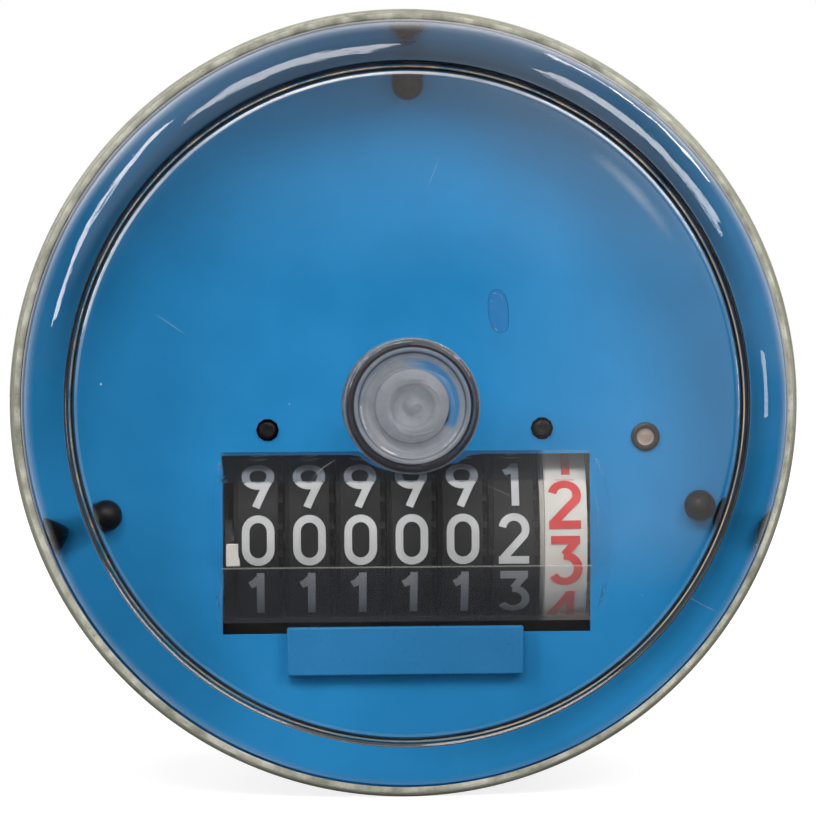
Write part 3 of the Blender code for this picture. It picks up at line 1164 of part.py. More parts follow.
def build_cross_shaft():
    shaft = ring_mesh(CROSS_SHAFT_RADIUS, 0, CROSS_SHAFT_BOTTOM, CROSS_SHAFT_TOP, TINY_STEPS)
    place(finished("cross_shaft", shaft), "steel", (TENTHS_GEAR_X, CROSS_Y, 0), "Z", PENDULUM)
    half = COUNTER_WORM_HALF
    root = COUNTER_WORM_RADIUS - DEDENDUM_SHARE * COUNTER_WORM_PITCH
    bore = CROSS_SHAFT_RADIUS + GAP
    core = ring_mesh(root, bore, -half, half, SMALL_STEPS)
    # The thread meets the gear on the -Y side, three quarters of a turn round from +X
    crest = COUNTER_WORM_PITCH / 2 - COUNTER_WORM_PITCH * MESH_TURN_SHARE
    mesh = worm_mesh(COUNTER_WORM_PITCH, COUNTER_WORM_RADIUS, COUNTER_WORM_TURNS, core, root,
                     crest)
    worm = finished("counter_worm", mesh)
    place(worm, "steel", (TENTHS_GEAR_X, CROSS_Y, NUMBER_AXIS_Z), "Z", PENDULUM)


def build_tenths_gear():
    addendum = ADDENDUM_SHARE * COUNTER_WORM_PITCH
    dedendum = DEDENDUM_SHARE * COUNTER_WORM_PITCH
    half = TENTHS_GEAR_WIDTH / 2
    outline = gear_outline(TENTHS_GEAR_TEETH, TENTHS_GEAR_RADIUS + addendum,
                           TENTHS_GEAR_RADIUS - dedendum, QUARTER_TURN)
    mesh = plate_mesh([outline], -half, half)
    lead = COUNTER_WORM_PITCH / (FULL_TURN * COUNTER_WORM_RADIUS)
    mesh = twist(mesh, -lead / TENTHS_GEAR_RADIUS)
    wheel_face = TENTHS_X + TENTHS_RIM_WIDTH / 2 - TENTHS_GEAR_X
    hub = ring_mesh(WHEEL_HUB_RADIUS, 0, wheel_face + GAP, 0, TINY_STEPS)
    mesh = bored(join(mesh, hub), NUMBER_SHAFT_RADIUS + RUNNING_GAP, wheel_face, half)
    spot = (TENTHS_GEAR_X, NUMBER_AXIS_Y, NUMBER_AXIS_Z)
    place(finished("tenths_gear", mesh), "brass", spot, "X", PENDULUM)


# Number wheels and carry pinions. Along X, a wheel has the lock disc on its left side and
# the carry gear on its right

def lock_outline():
    """Lock disc with one notch between two teeth, which turn the pinion at each carry."""
    tooth = LOCK_TOOTH_ANGLE
    half = LOCK_TOOTH_HALF_ANGLE
    points = [(LOCK_NOTCH_RADIUS, 0.0), (LOCK_NOTCH_RADIUS, tooth - half)]
    points.append((LOCK_TOOTH_RADIUS, tooth - half))
    points.append((LOCK_TOOTH_RADIUS, tooth + half))
    start = tooth + half
    sweep = FULL_TURN - 2 * start
    for index in range(LOCK_POINTS):
        points.append((LOCK_RADIUS, start + sweep * index / (LOCK_POINTS - 1)))
    points.append((LOCK_TOOTH_RADIUS, -tooth - half))
    points.append((LOCK_TOOTH_RADIUS, -tooth + half))
    points.append((LOCK_NOTCH_RADIUS, -tooth + half))
    return [(radius * math.cos(angle), radius * math.sin(angle)) for radius, angle in points]


def lock_side(width):
    """The lock disc on the left of a wheel, its notch half a digit short of the pinions."""
    disc = plate_mesh([lock_outline()], -width / 2 - SIDE_WIDTH, SIDE_SINK - width / 2)
    turn = QUARTER_TURN - CARRY_ANGLE - DIGIT_ANGLE / 2
    return moved(disc, Matrix.Rotation(turn, 4, "Z"))


def build_wheels():
    bore = NUMBER_SHAFT_RADIUS + RUNNING_GAP
    tip = CARRY_PITCH_RADIUS + CARRY_ADDENDUM
    root = CARRY_PITCH_RADIUS - CARRY_DEDENDUM
    gap_turn = QUARTER_TURN - CARRY_ANGLE + math.pi / CARRY_TEETH
    half = RIM_WIDTH / 2
    gear = plate_mesh([gear_outline(CARRY_TEETH, tip, root, gap_turn)], half - SIDE_SINK,
                      half + SIDE_WIDTH)
    rim = ring_mesh(WHEEL_RADIUS, 0, -half, half)
    blank = join(rim, gear, lock_side(RIM_WIDTH))
    number_mesh = bored(blank, bore, -half - SIDE_WIDTH, half + SIDE_WIDTH)
    for index, (name, digit) in enumerate(zip(WHEEL_NAMES, WHEEL_DIGITS)):
        wheel = finished("wheel_" + name, number_mesh)
        spot = (WHEEL_FIRST_X + index * WHEEL_PITCH, NUMBER_AXIS_Y, NUMBER_AXIS_Z)
        place(wheel, "black_plastic", spot, "X", PENDULUM, -digit * DIGIT_ANGLE)
    half = TENTHS_RIM_WIDTH / 2
    rim = ring_mesh(WHEEL_RADIUS, 0, -half, half)
    tenths_mesh = bored(join(rim, lock_side(TENTHS_RIM_WIDTH)), bore, -half - SIDE_WIDTH, half)
    tenths = finished("tenths_wheel", tenths_mesh)
    place(tenths, "white_plastic", (TENTHS_X, NUMBER_AXIS_Y, NUMBER_AXIS_Z), "X", PENDULUM)


def build_pinions():
    """Eight-tooth pinions, every other tooth cut short where the lock disc passes."""
    tip = PINION_PITCH_RADIUS + PINION_ADDENDUM
    root = PINION_PITCH_RADIUS - PINION_DEDENDUM
    facing = QUARTER_TURN - CARRY_ANGLE + math.pi
    half = PINION_WIDTH / 2
    mesh = plate_mesh([gear_outline(PINION_TEETH, tip, root, facing)], -half, half)
    cut_from = RIM_WIDTH / 2 + SIDE_WIDTH - WHEEL_PITCH / 2
    cut_half = PINION_PITCH_RADIUS / 2
    tooth_cutters = []
    for tooth in range(0, PINION_TEETH, 2):
        angle = facing + tooth * FULL_TURN / PINION_TEETH
        block = box_mesh((root, -cut_half, cut_from), (tip + GAP, cut_half, half + GAP))
        tooth_cutters.append(moved(block, Matrix.Rotation(angle, 4, "Z")))
    mesh = cut(mesh, *tooth_cutters)
    hub_half = (WHEEL_PITCH - GAP) / 2
    hub = ring_mesh(PINION_HUB_RADIUS, 0, -hub_half, hub_half, SMALL_STEPS)
    bore = ring_mesh(PINION_SHAFT_RADIUS + RUNNING_GAP, 0, -hub_half - GAP, hub_half + GAP,
                     SMALL_STEPS)
    mesh = cut(join(mesh, hub), bore)
    for index, name in enumerate(WHEEL_NAMES):
        across = WHEEL_FIRST_X + index * WHEEL_PITCH + WHEEL_PITCH / 2
        pinion = finished("carry_pinion_" + name, mesh)
        place(pinion, "nylon", (across, PINION_AXIS_Y, PINION_AXIS_Z), "X", PENDULUM)


build_housing()
build_cover()
build_seal()
build_axle()
build_drive_worm()
build_stud()
build_nut_and_washer()
build_dial()
build_frame_front()
build_unit_plate()
build_pins()
build_pegs_and_eyelet()
build_shield()
build_bushes()
build_frame_rear()
build_posts_and_screws()
build_weight()
build_shafts()
build_bearing()
build_drive_gears()
build_cross_shaft()
build_tenths_gear()
build_wheels()
build_pinions()
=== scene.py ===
import json
import math

import bmesh
import bpy
from mathutils import Matrix, Vector


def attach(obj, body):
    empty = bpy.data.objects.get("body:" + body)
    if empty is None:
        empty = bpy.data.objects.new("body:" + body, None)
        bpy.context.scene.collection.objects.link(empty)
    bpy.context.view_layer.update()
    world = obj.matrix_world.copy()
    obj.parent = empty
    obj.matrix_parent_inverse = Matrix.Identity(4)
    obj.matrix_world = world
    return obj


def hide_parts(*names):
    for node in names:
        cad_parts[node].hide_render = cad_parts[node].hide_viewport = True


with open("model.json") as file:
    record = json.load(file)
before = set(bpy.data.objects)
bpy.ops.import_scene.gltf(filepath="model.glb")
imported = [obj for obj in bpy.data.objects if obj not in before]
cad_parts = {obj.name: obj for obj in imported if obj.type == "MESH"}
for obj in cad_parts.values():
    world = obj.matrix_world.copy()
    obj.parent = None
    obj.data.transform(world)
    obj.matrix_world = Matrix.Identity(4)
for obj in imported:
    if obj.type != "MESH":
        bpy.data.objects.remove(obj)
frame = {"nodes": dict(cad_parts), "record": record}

# Sizes in metres. Depths are given from the front edge of the rim, as in the CAD source
MM = 0.001
RIM_PLANE = -19.75 * MM
FULL_TURN = 2 * math.pi

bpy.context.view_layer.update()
nodes = frame["nodes"]
scene = bpy.context.scene
scene.view_settings.view_transform = "Standard"

WHEEL_NAMES = ("hundred_thousands", "ten_thousands", "thousands", "hundreds", "tens", "units")

# Blender's own start objects go, if there are any
for name in ("Cube", "Light", "Camera"):
    if name in bpy.data.objects:
        bpy.data.objects.remove(bpy.data.objects[name], do_unlink=True)


# Materials. Texture coordinates are each object's own, in metres

def new_tree(name):
    material = bpy.data.materials.new(name)
    material.use_nodes = True
    tree = material.node_tree
    tree.nodes.clear()
    output = tree.nodes.new("ShaderNodeOutputMaterial")
    return material, tree, output


def put(tree, value, socket):
    """Gives a socket its value, or links it to another socket."""
    if isinstance(value, bpy.types.NodeSocket):
        tree.links.new(value, socket)
    else:
        socket.default_value = value


def feed(tree, node, **values):
    """Sets a node's properties and sockets."""
    for key, value in values.items():
        if hasattr(node, key):
            setattr(node, key, value)
        else:
            put(tree, value, node.inputs[key.replace("_", " ")])
    return node


def add(tree, kind, **values):
    return feed(tree, tree.nodes.new("ShaderNode" + kind), **values)


def own_place(tree):
    return add(tree, "TexCoord").outputs["Object"]


def axes_of(tree, vector):
    split = add(tree, "SeparateXYZ", Vector=vector)
    return [split.outputs[axis] for axis in "XYZ"]


def length_of(tree, vector):
    return add(tree, "VectorMath", operation="LENGTH", Vector=vector).outputs["Value"]


def noise(tree, per_mm, detail=4.0, roughness=0.55, stretch=(1, 1, 1)):
    """Noise with a number of features per millimetre, optionally stretched along an axis."""
    place = add(tree, "Mapping", Scale=stretch, Vector=own_place(tree))
    return add(tree, "TexNoise", Scale=per_mm / MM, Detail=detail, Roughness=roughness,
               Vector=place.outputs["Vector"]).outputs["Fac"]


def line_noise(tree, value, per_mm, detail):
    """Noise along one value only."""
    return add(tree, "TexNoise", noise_dimensions="1D", Scale=per_mm / MM, Detail=detail,
               W=value).outputs["Fac"]


def ramp(tree, source, *stops):
    """Colour ramp over a value. Each stop is a position and an RGB colour or one grey."""
    node = tree.nodes.new("ShaderNodeValToRGB")
    while len(node.color_ramp.elements) < len(stops):
        node.color_ramp.elements.new(0.5)
    for element, (position, colour) in zip(node.color_ramp.elements, stops):
        element.position = position
        rgb = colour if isinstance(colour, tuple) else (colour, colour, colour)
        element.color = (*rgb, 1)
    put(tree, source, node.inputs["Fac"])
    return node.outputs["Color"]


def mixed(tree, share, first, second):
    """Mix of two colours. Each is an RGB colour or a socket."""
    node = tree.nodes.new("ShaderNodeMix")
    node.data_type = "RGBA"
    slots = [socket for socket in node.inputs if socket.type == "RGBA"]
    for socket, value in zip(slots, (first, second)):
        put(tree, (*value, 1) if isinstance(value, tuple) else value, socket)
    put(tree, share, node.inputs[0])
    return [socket for socket in node.outputs if socket.type == "RGBA"][0]


def bumped(tree, height, distance, strength=1.0, **below):
    """Normal of a bump, over the Normal of another one where it is given."""
    return add(tree, "Bump", Height=height, Distance=distance, Strength=strength,
               **below).outputs["Normal"]


def range_of(tree, source, low, high, start=0.0, end=1.0):
    """A value carried from one range to another, kept inside the second."""
    return add(tree, "MapRange", Value=source, From_Min=low, From_Max=high, To_Min=start,
               To_Max=end).outputs["Result"]


def combined(tree, operation, first, *others):
    """Arithmetic on values, from left to right. Each is a number or a socket."""
    for other in others or (0.0,):
        node = add(tree, "Math", operation=operation)
        for socket, value in zip(node.inputs, (first, other)):
            put(tree, value, socket)
        first = node.outputs[0]
    return first


def product(tree, *values):
    return combined(tree, "MULTIPLY", *values)


def largest(tree, *values):
    return combined(tree, "MAXIMUM", *values)


def between(tree, source, rise, fall):
    """One between two limits, each given as where it starts and where it is full."""
    return product(tree, range_of(tree, source, *rise), range_of(tree, source, *fall))


def turned_by(tree, operation, angle, degrees):
    """Sine or cosine of an angle turned by some degrees."""
    return combined(tree, operation, combined(tree, "ADD", angle, math.radians(degrees)))


def rest_of(tree, value):
    return combined(tree, "SUBTRACT", 1.0, value)


def mixed_shaders(tree, share, first, second):
    node = add(tree, "MixShader", Fac=share)
    put(tree, first, node.inputs[1])
    put(tree, second, node.inputs[2])
    return node.outputs["Shader"]


def around_axis(tree):
    """Distance from the main axis, angle about it, and depth."""
    x, y, z = axes_of(tree, own_place(tree))
    radius = length_of(tree, add(tree, "CombineXYZ", X=x, Y=z).outputs["Vector"])
    return radius, combined(tree, "ARCTAN2", z, x), y


def surface(name, dark, light, rough, metallic=0.0, grain=2.0, depth=0.01, speck=None,
            stretch=(1, 1, 1), gloss=0.5):
    """Opaque material: two tones of colour, mottled roughness, fine bump and specks of wear."""
    material, tree, output = new_tree(name)
    broad = noise(tree, grain * 0.12, 3.0)
    fine = noise(tree, grain, 6.0, 0.65, stretch)
    tone = mixed(tree, ramp(tree, broad, (0.35, 0.0), (0.65, 1.0)), dark, light)
    if speck:
        spots = ramp(tree, noise(tree, grain * 0.9, 2.0), (0.70, 0.0), (0.76, 1.0))
        tone = mixed(tree, spots, tone, speck)
    low, high = rough
    shader = add(tree, "BsdfPrincipled", Metallic=metallic, Specular_IOR_Level=gloss,
                 Base_Color=tone, Roughness=ramp(tree, fine, (0.3, low), (0.7, high)),
                 Normal=bumped(tree, fine, depth * MM))
    put(tree, shader.outputs["BSDF"], output.inputs["Surface"])
    return material


def clear(name, colour, ior):
    """Clear material that lets lamp light straight through, so that what lies behind is lit."""
    material, tree, output = new_tree(name)
    shader = add(tree, "BsdfPrincipled", Base_Color=(*colour, 1), Transmission_Weight=1.0,
                 IOR=ior, Roughness=0.0)
    open_air = add(tree, "BsdfTransparent", Color=(*colour, 1))
    path = add(tree, "LightPath")
    straight = largest(tree, path.outputs["Is Shadow Ray"], path.outputs["Is Diffuse Ray"])
    put(tree, mixed_shaders(tree, straight, shader.outputs["BSDF"], open_air.outputs["BSDF"]),
        output.inputs["Surface"])
    return material


def turned_metal(name, dark, light, rough, metallic, rings_per_mm, depth):
    """Metal cut on a lathe about the main axis: fine rings, a few scratches and stains."""
    material, tree, output = new_tree(name)
    rings = line_noise(tree, around_axis(tree)[0], rings_per_mm, 3.0)
    broad = noise(tree, 0.12, 4.0)
    stains = noise(tree, 0.9, 5.0, 0.6)
    pits = noise(tree, 5.0, 3.0, 0.5)
    bright = tuple(min(1.0, value * 1.25) for value in light)
    dull = tuple(value * 0.72 for value in dark)
    tone = mixed(tree, ramp(tree, broad, (0.35, 0.0), (0.65, 1.0)), dark, light)
    tone = mixed(tree, ramp(tree, rings, (0.45, 0.0), (0.75, 0.7)), tone, bright)
    tone = mixed(tree, ramp(tree, stains, (0.56, 0.0), (0.70, 0.65)), tone, dull)
    tone = mixed(tree, ramp(tree, pits, (0.66, 0.0), (0.72, 0.6)), tone, dull)
    low, high = rough
    ringed = bumped(tree, rings, depth * MM)
    shader = add(tree, "BsdfPrincipled", Metallic=metallic, Base_Color=tone,
                 Roughness=ramp(tree, stains, (0.3, low), (0.7, high)),
                 Normal=bumped(tree, pits, depth * MM, 0.6, Normal=ringed))
    put(tree, shader.outputs["BSDF"], output.inputs["Surface"])
    return material


ZINC = surface("zinc_casting", (0.185, 0.187, 0.160), (0.245, 0.25, 0.215), (0.40, 0.60),
               metallic=0.45, grain=6.0, depth=0.03, speck=(0.13, 0.13, 0.11))
ZINC_TURNED = turned_metal("zinc_turned", (0.235, 0.235, 0.185), (0.32, 0.32, 0.255), (0.4, 0.55),
                           0.25, 6.0, 0.008)
ZINC_BRIGHT = surface("zinc_bright", (0.30, 0.30, 0.235), (0.72, 0.72, 0.60), (0.25, 0.4),
                      metallic=0.3, grain=3.0, depth=0.03, speck=(0.20, 0.20, 0.16))
# Near black: painted shade in the gap where the cover's foot sits in the housing's lip and seat
SEAT_SHADE = surface("painted_seat_shade", (0.020, 0.024, 0.018), (0.035, 0.04, 0.03), (0.6, 0.8))
WASHER_GREY = surface("washer_grey", (0.10, 0.115, 0.14), (0.24, 0.25, 0.275), (0.4, 0.55),
                      metallic=0.2, grain=9.0, speck=(0.05, 0.055, 0.07), gloss=0.1)
RIVET_DARK = surface("rivet_dark", (0.035, 0.034, 0.034), (0.06, 0.058, 0.056), (0.25, 0.4),
                     metallic=0.3, grain=3.0, depth=0.006, gloss=0.3)
RIVET_PALE = surface("rivet_pale", (0.34, 0.27, 0.22), (0.44, 0.36, 0.30), (0.35, 0.5),
                     metallic=0.3, grain=4.0, gloss=0.3)
STEEL = surface("turned_steel", (0.42, 0.43, 0.44), (0.60, 0.61, 0.62), (0.2, 0.38),
                metallic=1.0, grain=3.0, depth=0.006, stretch=(1, 8, 1))
NYLON = surface("nylon", (0.62, 0.60, 0.52), (0.74, 0.72, 0.64), (0.4, 0.55))
BRASS = surface("machined_brass", (0.50, 0.35, 0.14), (0.72, 0.54, 0.25), (0.2, 0.4),
                metallic=1.0, grain=3.0, depth=0.006, stretch=(1, 6, 1))
BROWN = surface("brown_frame", (0.008, 0.007, 0.006), (0.016, 0.013, 0.012), (0.4, 0.55),
                gloss=0.1)
LEAD = surface("lead_casting", (0.10, 0.10, 0.105), (0.19, 0.19, 0.20), (0.5, 0.7),
               metallic=0.6, grain=1.5, depth=0.05)
BLUE = surface("blue_paint", (0.022, 0.250, 0.56), (0.027, 0.275, 0.61), (0.38, 0.5),
               grain=0.9, depth=0.002, gloss=0.04)
BLUE_PLATE = surface("blue_plate", (0.022, 0.205, 0.455), (0.027, 0.225, 0.50), (0.25, 0.35),
                     grain=1.4, depth=0.002, gloss=0.25)
BLACK = surface("wheel_black", (0.013, 0.013, 0.013), (0.022, 0.021, 0.021), (0.35, 0.5),
                depth=0.004, speck=(0.04, 0.039, 0.038), gloss=0.12)
PIN_BLACK = surface("pin_black", (0.006, 0.005, 0.005), (0.012, 0.010, 0.010), (0.26, 0.32),
                    grain=1.0, depth=0.0004, gloss=0.3)
DULL = surface("dull_grey", (0.13, 0.135, 0.15), (0.20, 0.205, 0.22), (0.4, 0.55),
               metallic=0.3, grain=3.0, gloss=0.15)
WHITE = surface("white_plastic", (0.66, 0.63, 0.58), (0.74, 0.71, 0.66), (0.3, 0.45),
                grain=1.5, depth=0.004, gloss=0.1)
RUBBER = surface("seal_rubber", (0.012, 0.012, 0.012), (0.022, 0.022, 0.022), (0.6, 0.75),
                 grain=3.0)
FIGURE_WHITE = surface("figure_white", (0.54, 0.545, 0.55), (0.64, 0.645, 0.65), (0.45, 0.6),
                       grain=2.5, depth=0.003, gloss=0.1)
FIGURE_RED = surface("figure_red", (0.60, 0.045, 0.045), (0.74, 0.08, 0.075), (0.45, 0.6),
                     grain=2.5, depth=0.003, gloss=0.1)


def glass_of(material):
    """The tree of a clear material and its shader that bends light."""
    tree = material.node_tree
    return tree, next(node for node in tree.nodes if node.type == "BSDF_PRINCIPLED")


def scratch_lines(tree, turn, period, wander):
    """Sparse fine lines across the cover, each broken off by a patchy mask."""
    mapping = add(tree, "Mapping", Rotation=(0, math.radians(turn), 0), Vector=own_place(tree))
    across = axes_of(tree, mapping.outputs["Vector"])[0]
    bend = product(tree, noise(tree, 0.04, 2.0), wander * MM)
    wrapped = combined(tree, "PINGPONG", combined(tree, "ADD", across, bend), period * MM)
    line = range_of(tree, wrapped, 0.0, 0.035 * MM, 1.0, 0.0)
    return product(tree, line, range_of(tree, noise(tree, 0.13, 2.0), 0.60, 0.66))


BOSS_R = 7.02 * MM
BOSS_BASE_R = 6.86 * MM


def cover_outside():
    """Clear plastic with dust, a few scratches and faint rings drawn in the rounded shoulder, with
    painted shade, a painted dark outline, a painted sheen band and a painted reflection streak.
    """
    material = clear("cover_outside", (1.0, 1.0, 1.0), 1.5)
    tree, shader = glass_of(material)
    radius, angle, depth = around_axis(tree)
    drawn = add(tree, "CombineXYZ", X=product(tree, radius, 1.3 / MM),
                Y=product(tree, angle, 3.2), Z=product(tree, depth, 0.5 / MM))
    strands = add(tree, "TexNoise", Scale=1.0, Detail=3.0, Vector=drawn.outputs["Vector"])
    height_above = combined(tree, "SINE", angle)
    only_shoulder = product(tree, range_of(tree, radius, 36.5 * MM, 37.5 * MM),
                            range_of(tree, height_above, 0.0, 0.35))
    height = product(tree, strands.outputs["Fac"], only_shoulder)
    # Painted shade: the shoulder just outside the groove is darkened in its upper half and to the
    # right
    upper = range_of(tree, height_above, -0.1, 0.5)
    right = range_of(tree, turned_by(tree, "COSINE", angle, 28), 0.4, 0.9, 0.0, 0.75)
    shade = between(tree, radius, (39.2 * MM, 37.2 * MM), (35.9 * MM, 36.1 * MM))
    shade = product(tree, shade, largest(tree, upper, right))
    # Painted sheen: a pale bluish band near the shoulder's outer edge, patchy by noise, shown by
    # lowering the transmission
    painted_sheen = ramp(tree, range_of(tree, radius, 38.6 * MM, 41.5 * MM), (0.0, 0.0), (0.45, 0.0),
                (0.60, 0.08), (0.71, 0.28), (0.77, 0.42), (0.80, 0.30), (0.815, 0.0))
    painted_sheen = product(tree, painted_sheen, range_of(tree, noise(tree, 0.06, 2.0), 0.35, 0.65, 0.45, 1.0))
    pale = mixed(tree, range_of(tree, painted_sheen, 0.0, 0.1), (1.0, 1.0, 1.0), (0.84, 0.92, 0.98))
    # Painted shade: the steep outer wall is tinted dark, drawing a dark outline round the cover
    pale = mixed(tree, range_of(tree, radius, 40.94 * MM, 40.99 * MM), pale, (0.10, 0.08, 0.12))
    dots = add(tree, "TexVoronoi", Scale=0.4 / MM, Vector=own_place(tree))
    chosen = add(tree, "SeparateColor", Color=dots.outputs["Color"])
    size = range_of(tree, chosen.outputs["Red"], 0.86, 1.0, 0.0, 0.045)
    dust = product(tree, combined(tree, "LESS_THAN", dots.outputs["Distance"], size), 0.5)
    lines = largest(tree, scratch_lines(tree, 62, 19, 9), scratch_lines(tree, -23, 23, 12))
    # Painted reflection: a soft pale streak just inside the face's edge, to the upper right
    painted_streak = ramp(tree, range_of(tree, radius, 32.3 * MM, 33.9 * MM), (0.0, 0.0), (0.45, 1.0),
                 (0.6, 0.8), (1.0, 0.0))
    stretch = range_of(tree, angle, math.radians(31), math.radians(54))
    painted_streak = product(tree, painted_streak,
                    ramp(tree, stretch, (0.0, 0.0), (0.5, 0.16), (0.85, 0.07), (1.0, 0.0)))
    # Scratches and dust are real marks; the sheen band and the streak are painted light
    opaque_share = largest(tree, product(tree, lines, 0.35), painted_streak, dust, painted_sheen)
    feed(tree, shader, Base_Color=mixed(tree, shade, pale, (0.29, 0.28, 0.27)),
         Normal=bumped(tree, height, 0.045 * MM), Transmission_Weight=rest_of(tree, opaque_share))
    return material


def cover_groove():
    """Groove between face and shoulder, painted nearly black as shade, with a painted highlight
    along its inner edge and a thin pale golden painted glint.
    """
    material = clear("cover_groove", (0.3, 0.3, 0.3), 1.5)
    tree, shader = glass_of(material)
    radius, angle, _ = around_axis(tree)
    place = range_of(tree, radius, 34.9 * MM, 36.6 * MM)
    # Painted shade: the groove is tinted nearly black; the pale edge stops serve the painted
    # highlight on its inner side and the gold stops the painted glint
    edge, gold = (0.84, 0.84, 0.82), (0.88, 0.60, 0.30)
    tint = ramp(tree, place, (0.0, 1.0), (0.05, edge), (0.25, edge), (0.30, (0.10, 0.09, 0.10)),
                (0.50, (0.05, 0.045, 0.045)), (0.54, gold), (0.61, gold),
                (0.65, (0.07, 0.06, 0.07)), (0.90, (0.08, 0.07, 0.09)), (1.0, (0.24, 0.24, 0.26)))
    # Patches where the painted dark of the groove shows as flat colour rather than a tint
    patches = product(tree, range_of(tree, noise(tree, 0.5, 4.0), 0.35, 0.7, 0.0, 0.4),
                      range_of(tree, place, 0.28, 0.34))
    # Painted glint: a thin golden line in the groove, strongest to the lower right
    lower_right = turned_by(tree, "COSINE", angle, 38)
    painted_glint = product(tree, ramp(tree, place, (0.53, 0.0), (0.56, 1.0), (0.59, 1.0), (0.62, 0.0)),
                     range_of(tree, noise(tree, 0.12, 3.0), 0.4, 0.6, 0.45, 0.95),
                     range_of(tree, lower_right, 0.3, 0.85, 0.06, 1.0))
    # Painted highlight along the groove's inner edge, stronger in the upper part
    above = turned_by(tree, "SINE", angle, -8)
    opaque_share = product(tree, ramp(tree, place, (0.05, 0.0), (0.12, 1.0), (0.24, 1.0), (0.29, 0.0)),
                   range_of(tree, above, 0.15, 0.5, 0.11, 0.5),
                   range_of(tree, noise(tree, 0.15, 3.0), 0.35, 0.6, 0.55, 1.0))
    feed(tree, shader, Base_Color=tint,
         Transmission_Weight=rest_of(tree, largest(tree, patches, painted_glint, opaque_share)),
         Roughness=ramp(tree, noise(tree, 3.0), (0.3, 0.03), (0.7, 0.14)))
    return material


def boss_front():
    """End of the boss: dark outer rings with a painted highlight at the outermost edge, then a
    hazy grey dish with a painted reflection of a blue crescent, its dark inner edge, and a painted
    pale highlight arc along the lower part.
    """
    material = clear("boss_front", (0.6, 0.6, 0.6), 1.5)
    tree, shader = glass_of(material)
    radius, angle, _ = around_axis(tree)
    place = range_of(tree, radius, 0.0, BOSS_R)
    cloud = noise(tree, 0.8, 6.0, 0.65)
    pale = mixed(tree, ramp(tree, cloud, (0.3, 0.0), (0.7, 1.0)), (0.26, 0.285, 0.33),
                 (0.33, 0.345, 0.37))
    # The last stop is a painted highlight along the boss's outermost edge
    rings = ramp(tree, place, (0.0, 1.1), (0.12, 0.85), (0.16, 1.0), (0.28, 0.95), (0.31, 0.82),
                 (0.35, 1.0), (0.53, 1.0), (0.545, 0.62), (0.57, 0.85), (0.68, 1.0), (0.69, 0.86),
                 (0.765, 0.95), (0.785, 0.25), (0.80, 1.1), (0.85, 1.0),
                 (0.865, (0.12, 0.10, 0.11)), (0.885, (0.26, 0.23, 0.23)),
                 (0.955, (0.27, 0.24, 0.24)), (0.97, (0.5, 0.47, 0.46)), (0.985, 1.6))
    toned = add(tree, "VectorMath", operation="MULTIPLY")
    put(tree, pale, toned.inputs[0])
    put(tree, rings, toned.inputs[1])
    # Painted reflection: a blue crescent of the dial at the right of the dish, with a dark inner
    # edge
    first = range_of(tree, angle, math.radians(-34), math.radians(-24))
    last = range_of(tree, angle, math.radians(105), math.radians(70))
    crescent = between(tree, radius, (3.80 * MM, 3.90 * MM), (4.95 * MM, 4.75 * MM))
    crescent = product(tree, crescent, product(tree, first, last), 0.85)
    edge = product(tree, between(tree, radius, (3.70 * MM, 3.78 * MM), (3.96 * MM, 3.88 * MM)),
                   range_of(tree, angle, math.radians(10), math.radians(-20)), first)
    # Painted highlight: a pale arc along the lower part of the boss end, broken up by noise
    arc = product(tree, ramp(tree, place, (0.735, 0.0), (0.745, 1.0), (0.755, 1.0), (0.765, 0.0)),
                  range_of(tree, angle, math.radians(-15), math.radians(-30)),
                  range_of(tree, noise(tree, 0.5, 2.0), 0.45, 0.6))
    tone = mixed(tree, crescent, toned.outputs["Vector"], (0.03, 0.20, 0.45))
    tone = mixed(tree, edge, tone, (0.03, 0.035, 0.05))
    tone = mixed(tree, arc, tone, (0.75, 0.75, 0.74))
    clearness = ramp(tree, place, (0.765, 0.2), (0.80, 0.45), (0.855, 0.45), (0.87, 0.65))
    shifted = add(tree, "VectorMath", operation="MULTIPLY_ADD", Vector=own_place(tree))
    shifted.inputs[1].default_value = (1, 0, 1)
    shifted.inputs[2].default_value = (-0.5 * MM, 0, 0.35 * MM)
    wobble = product(tree, noise(tree, 0.3, 2.0), 1.6 * MM)
    away = combined(tree, "ADD", length_of(tree, shifted.outputs["Vector"]), wobble)
    rippled = bumped(tree, line_noise(tree, away, 1.1, 2.0), 0.09 * MM)
    feed(tree, shader, Base_Color=tone, Transmission_Weight=clearness,
         Normal=bumped(tree, cloud, 0.03 * MM, 0.8, Normal=rippled),
         Roughness=ramp(tree, cloud, (0.3, 0.06), (0.7, 0.18)))
    return material


COVER = cover_outside()
JOINED = clear("cover_inside", (1.0, 1.0, 1.0), 1.0)
GROOVE = cover_groove()
BOSS_END = boss_front()
BUBBLE = clear("bubble_air", (0.74, 0.79, 0.88), 0.80)


